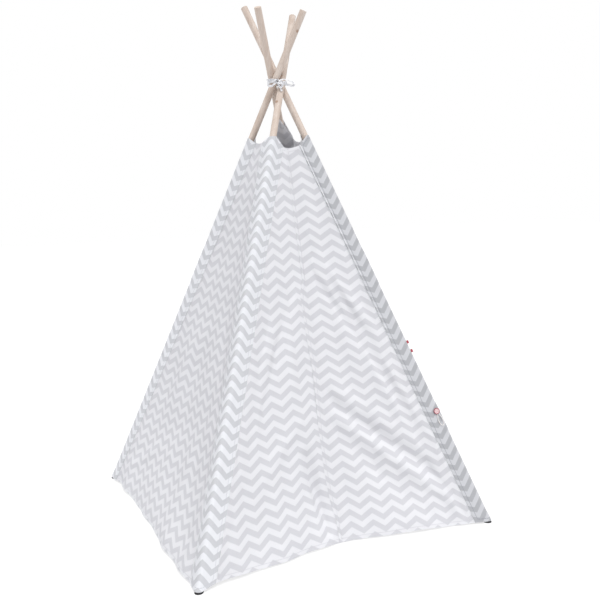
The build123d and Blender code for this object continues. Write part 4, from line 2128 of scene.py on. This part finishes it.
@dataclass(frozen=True)
class Studio:
    """The camera, the soft lights and the plain pale floor.

    What the camera, a gloss or a clear part sees of the world and the floor is white. The light that they
    give the tent is their own: the world's ambient light and a pale grey floor's.
    """

    eye: tuple[float, float, float] = (-1.11919, -2.47661, 1.10967)
    azimuth: float = -25.5871
    elevation: float = 8.6654
    roll: float = -0.01937
    focal_pixels: float = 819.42
    image: float = 600.0
    sensor: float = 36.0
    clip: tuple[float, float] = (0.05, 50.0)
    lamps: tuple[Lamp, ...] = (
        Lamp("key", (0.05, -0.42, 0.905), 2.20, 30.0),
        Lamp("fill", (-0.90, 0.30, 0.35), 0.50, 70.0),
    )
    ambient: float = 0.645
    ambient_colour: tuple[float, float, float, float] = (0.985, 0.99, 1.0, 1.0)
    white: tuple[float, float, float, float] = (1.0, 1.0, 1.0, 1.0)
    floor_size: float = 24.0
    floor_colour: tuple[float, float, float, float] = (0.82, 0.82, 0.83, 1.0)
    floor_seen: tuple[float, float, float, float] = (0.30, 0.30, 0.30, 1.0)
    floor_glow: float = 0.72

    def camera(self) -> None:
        """Adds the camera and makes it the scene's own."""
        az, el = math.radians(self.azimuth), math.radians(self.elevation)
        ahead = Vector((-math.sin(az) * math.cos(el), math.cos(az) * math.cos(el), -math.sin(el)))
        right = ahead.cross(Vector(UP)).normalized()
        above = right.cross(ahead)
        turned = right * math.cos(self.roll) + above * math.sin(self.roll)
        top = above * math.cos(self.roll) - right * math.sin(self.roll)
        data = bpy.data.cameras.new("camera")
        data.sensor_width = self.sensor
        data.lens = self.focal_pixels * self.sensor / self.image
        data.clip_start, data.clip_end = self.clip
        camera = bpy.data.objects.new("camera", data)
        bpy.context.scene.collection.objects.link(camera)
        rotation = Matrix((turned, top, -ahead)).transposed().to_4x4()
        camera.matrix_world = Matrix.Translation(self.eye) @ rotation
        bpy.context.scene.camera = camera

    def seen(self, tree: bpy.types.NodeTree) -> bpy.types.NodeSocket:
        """Adds the test for what the camera, a gloss or a clear part sees.

        Args:
            tree: The material's or the world's node tree.

        Returns:
            1 where it sees, 0 for light.
        """
        path = node(tree, "LightPath")
        gloss = node(
            tree,
            "Math",
            {0: path.outputs["Is Camera Ray"], 1: path.outputs["Is Glossy Ray"]},
            operation="MAXIMUM",
        )
        through = {0: gloss.outputs[0], 1: path.outputs["Is Transmission Ray"]}
        clear = node(tree, "Math", through, operation="MAXIMUM")
        return clear.outputs[0]

    def sky(self) -> None:
        """Lights the tent evenly from a plain surround that itself looks white."""
        world = bpy.data.worlds.new("studio")
        bpy.context.scene.world = world
        world.use_nodes = True
        tree = world.node_tree
        tree.nodes.clear()
        light = node(tree, "Background", {"Color": self.ambient_colour, "Strength": self.ambient})
        white = node(tree, "Background", {"Color": self.white, "Strength": 1.0})
        mixed = node(tree, "MixShader", {0: self.seen(tree), 1: light.outputs[0], 2: white.outputs[0]})
        node(tree, "OutputWorld", {"Surface": mixed.outputs[0]})

    def floor(self) -> None:
        """Adds the plain pale floor, which keeps the tent's soft shadow."""
        clear_selection()
        bpy.ops.mesh.primitive_plane_add(size=self.floor_size, location=(0.0, 0.0, 0.0))
        floor = bpy.context.object
        floor.name = "floor"
        material = bpy.data.materials.new("studio_floor")
        material.use_nodes = True
        tree = material.node_tree
        tree.nodes.clear()
        matt = node(tree, "BsdfDiffuse", {"Color": self.floor_seen})
        glow = node(tree, "Emission", {"Color": self.white, "Strength": self.floor_glow})
        white = node(tree, "AddShader", {0: matt.outputs[0], 1: glow.outputs[0]})
        plain = node(tree, "BsdfDiffuse", {"Color": self.floor_colour})
        mixed = node(tree, "MixShader", {0: self.seen(tree), 1: plain.outputs[0], 2: white.outputs[0]})
        node(tree, "OutputMaterial", {"Surface": mixed.outputs[0]})
        dress(floor, material)

    def build(self) -> None:
        """Sets the studio up."""
        self.sky()
        self.floor()
        for lamp in self.lamps:
            lamp.build()
        bpy.context.scene.view_settings.view_transform = "Standard"


# ---------------------------------------------------------------------------
# The tent
# ---------------------------------------------------------------------------


# Each fold's ends are given across and up its wall, from the middle of the hem. The right door is drawn
# towards the foot of its pole, so its folds run down from the lap to that corner. The left door hangs
# straighter, but its foot is pulled in beside the lap.
RIGHT_DOOR_FOLDS = (
    Fold((-0.005, 0.525), (0.320, 0.250), 0.024, 0.0060),
    Fold((-0.004, 0.474), (0.400, 0.128), 0.019, -0.0080),
    Fold((0.000, 0.434), (0.395, 0.064), 0.019, 0.0092),
    Fold((0.000, 0.380), (0.290, 0.060), 0.024, -0.0055),
    Fold((0.038, 0.898), (0.250, 0.585), 0.020, 0.0070),
    Fold((0.004, 0.874), (0.212, 0.560), 0.020, -0.0070),
    Fold((0.120, 0.640), (0.400, 0.250), 0.050, 0.0080),
)
LEFT_DOOR_FOLDS = (
    Fold((-0.027, 0.873), (-0.164, 0.542), 0.022, -0.0045),
    Fold((-0.087, 0.781), (-0.087, 0.473), 0.020, 0.0040),
    Fold((-0.232, 0.257), (-0.082, 0.411), 0.020, 0.0050),
    Fold((-0.317, 0.370), (-0.317, 0.260), 0.010, -0.0040),
    Fold((-0.072, 0.300), (-0.030, 0.070), 0.019, -0.0180),
)
LEFT_FOLDS = (
    Fold((0.026, 0.928), (-0.227, 0.222), 0.045, 0.0080),
    Fold((0.153, 0.460), (0.208, 0.098), 0.036, -0.0060),
    Fold((0.061, 0.766), (0.269, 0.427), 0.032, -0.0050),
    Fold((-0.400, 0.050), (-0.150, 0.220), 0.020, 0.0045),
    Fold((0.080, 0.010), (0.430, 0.010), 0.075, 0.0160),
)
RIGHT_FOLDS = (
    Fold((-0.380, 0.060), (-0.050, 0.480), 0.034, 0.0070),
    Fold((0.360, 0.070), (0.120, 0.350), 0.030, -0.0050),
    Fold((0.040, 0.900), (0.180, 0.450), 0.036, 0.0060),
)
BACK_FOLDS = (
    Fold((0.380, 0.070), (0.060, 0.420), 0.032, 0.0060),
    Fold((-0.360, 0.080), (-0.160, 0.400), 0.030, -0.0050),
    Fold((-0.030, 0.950), (-0.140, 0.500), 0.036, 0.0060),
)


@dataclass
class Cover:
    """The whole cover: three walls, the two front halves and the four casings.

    The right half's free edge wanders over the middle, and its lap is widest at a bulge below the slit's top.
    """

    left: Panel = Panel(Side.LEFT, Half.WHOLE, Drape(sag=0.022, seed=3, folds=LEFT_FOLDS))
    right: Panel = Panel(Side.RIGHT, Half.WHOLE, Drape(sag=0.022, seed=4, folds=RIGHT_FOLDS))
    back: Panel = Panel(Side.BACK, Half.WHOLE, Drape(sag=0.020, seed=5, folds=BACK_FOLDS))
    front_left: Panel = Panel(
        Side.FRONT,
        Half.LEFT,
        Drape(sag=0.0, seed=6, folds=LEFT_DOOR_FOLDS),
        PrintLay(tilt=-0.07, stretch=0.92),
    )
    front_right: Panel = Panel(
        Side.FRONT,
        Half.RIGHT,
        Drape(sag=0.0, seed=7, folds=RIGHT_DOOR_FOLDS),
        PrintLay(tilt=0.09, stretch=0.92),
    )
    under_stand_off: float = 0.0006
    over_stand_off: float = 0.0019
    under_edge: tuple[tuple[float, float], ...] = ((0.0, 0.020), (1.3, 0.020))
    over_edge: tuple[tuple[float, float], ...] = (
        (0.02, 0.012), (0.09, 0.008), (0.16, 0.020), (0.24, 0.025), (0.33, 0.026),
        (0.56, 0.017), (0.77, 0.030), (0.81, 0.020), (0.84, 0.009), (1.3, 0.007),
    )
    first_seed: int = 20

    def build(self) -> None:
        """Makes every sheet of the cover."""
        printed = PrintedCotton().build()
        # The wrong side of the cloth: nearly white, as little of the ink comes through.
        inside = PrintedCotton(name="cotton_canvas_unprinted_side", light="FBFBFD", dark="EAEAED").build()
        # The same cloth turned in twice along a casing, so that it lets no light through. Its much greyer
        # print and dark stitches are painted shade, for a casing that rounds away from the light.
        deep_shade_cotton = PrintedCotton(
            name="cotton_canvas_zigzag_print_doubled",
            light="C5C6CA",
            dark="A9AAAE",
            stitch="8E9098",
            sheer=0.0,
        ).build()
        # The same cloth turned in once, so that it lets no light through. Its slightly greyer print is
        # painted shade, for the cloth rounding the pole away from the light.
        folded = PrintedCotton(
            name="cotton_canvas_zigzag_print_folded",
            light="E1E2E6",
            dark="C5C6CA",
            stitch="C8C9CF",
            sheer=0.0,
        ).build()
        for panel in (self.left, self.right, self.back):
            PlainWall(panel).build((printed, inside))
        FrontHalf(self.front_left, self.under_stand_off, self.under_edge).build((printed, inside))
        FrontHalf(self.front_right, self.over_stand_off, self.over_edge).build((printed, inside))
        standard = (OVER_FOOT_CAP, OVER_FERRULE)
        casings = (
            # The front left and back left casings wear the cloth with painted light shade.
            (Corner.FRONT_LEFT, (self.left, self.front_left), standard, folded),
            # The front right casing wears the cloth with painted deep shade.
            (Corner.FRONT_RIGHT, (self.front_right, self.right), (*standard, UNDER_BUTTON), deep_shade_cotton),
            (Corner.BACK_RIGHT, (self.right, self.back), standard, printed),
            (Corner.BACK_LEFT, (self.back, self.left), standard, folded),
        )
        for seed, (corner, panels, swells, outside) in enumerate(casings, self.first_seed):
            Casing(corner, panels, seed, swells).build((outside, inside))


def main() -> None:
    """Builds the studio and the tent."""
    logging.basicConfig(level=logging.INFO, format="%(message)s")
    studio = Studio()
    studio.camera()
    tie_back = TieBack()
    tie_back.loop(BraidedCord().build())
    studio.build()
    Cover().build()
    tape = TwillTape().build()
    tie = Tie()
    tie.wrap(tape)
    tie.bow(tape)
    # The same tape dyed a dull pink, mottled where the folds have lost their dye.
    tie_back.tabs(TwillTape(name="pink_cotton_tape", light="B4545C", dark="8E3A44", patches=0.6).build())
    tie_back.button()
    PoleSet().dress()


if __name__ == "__main__":
    main()
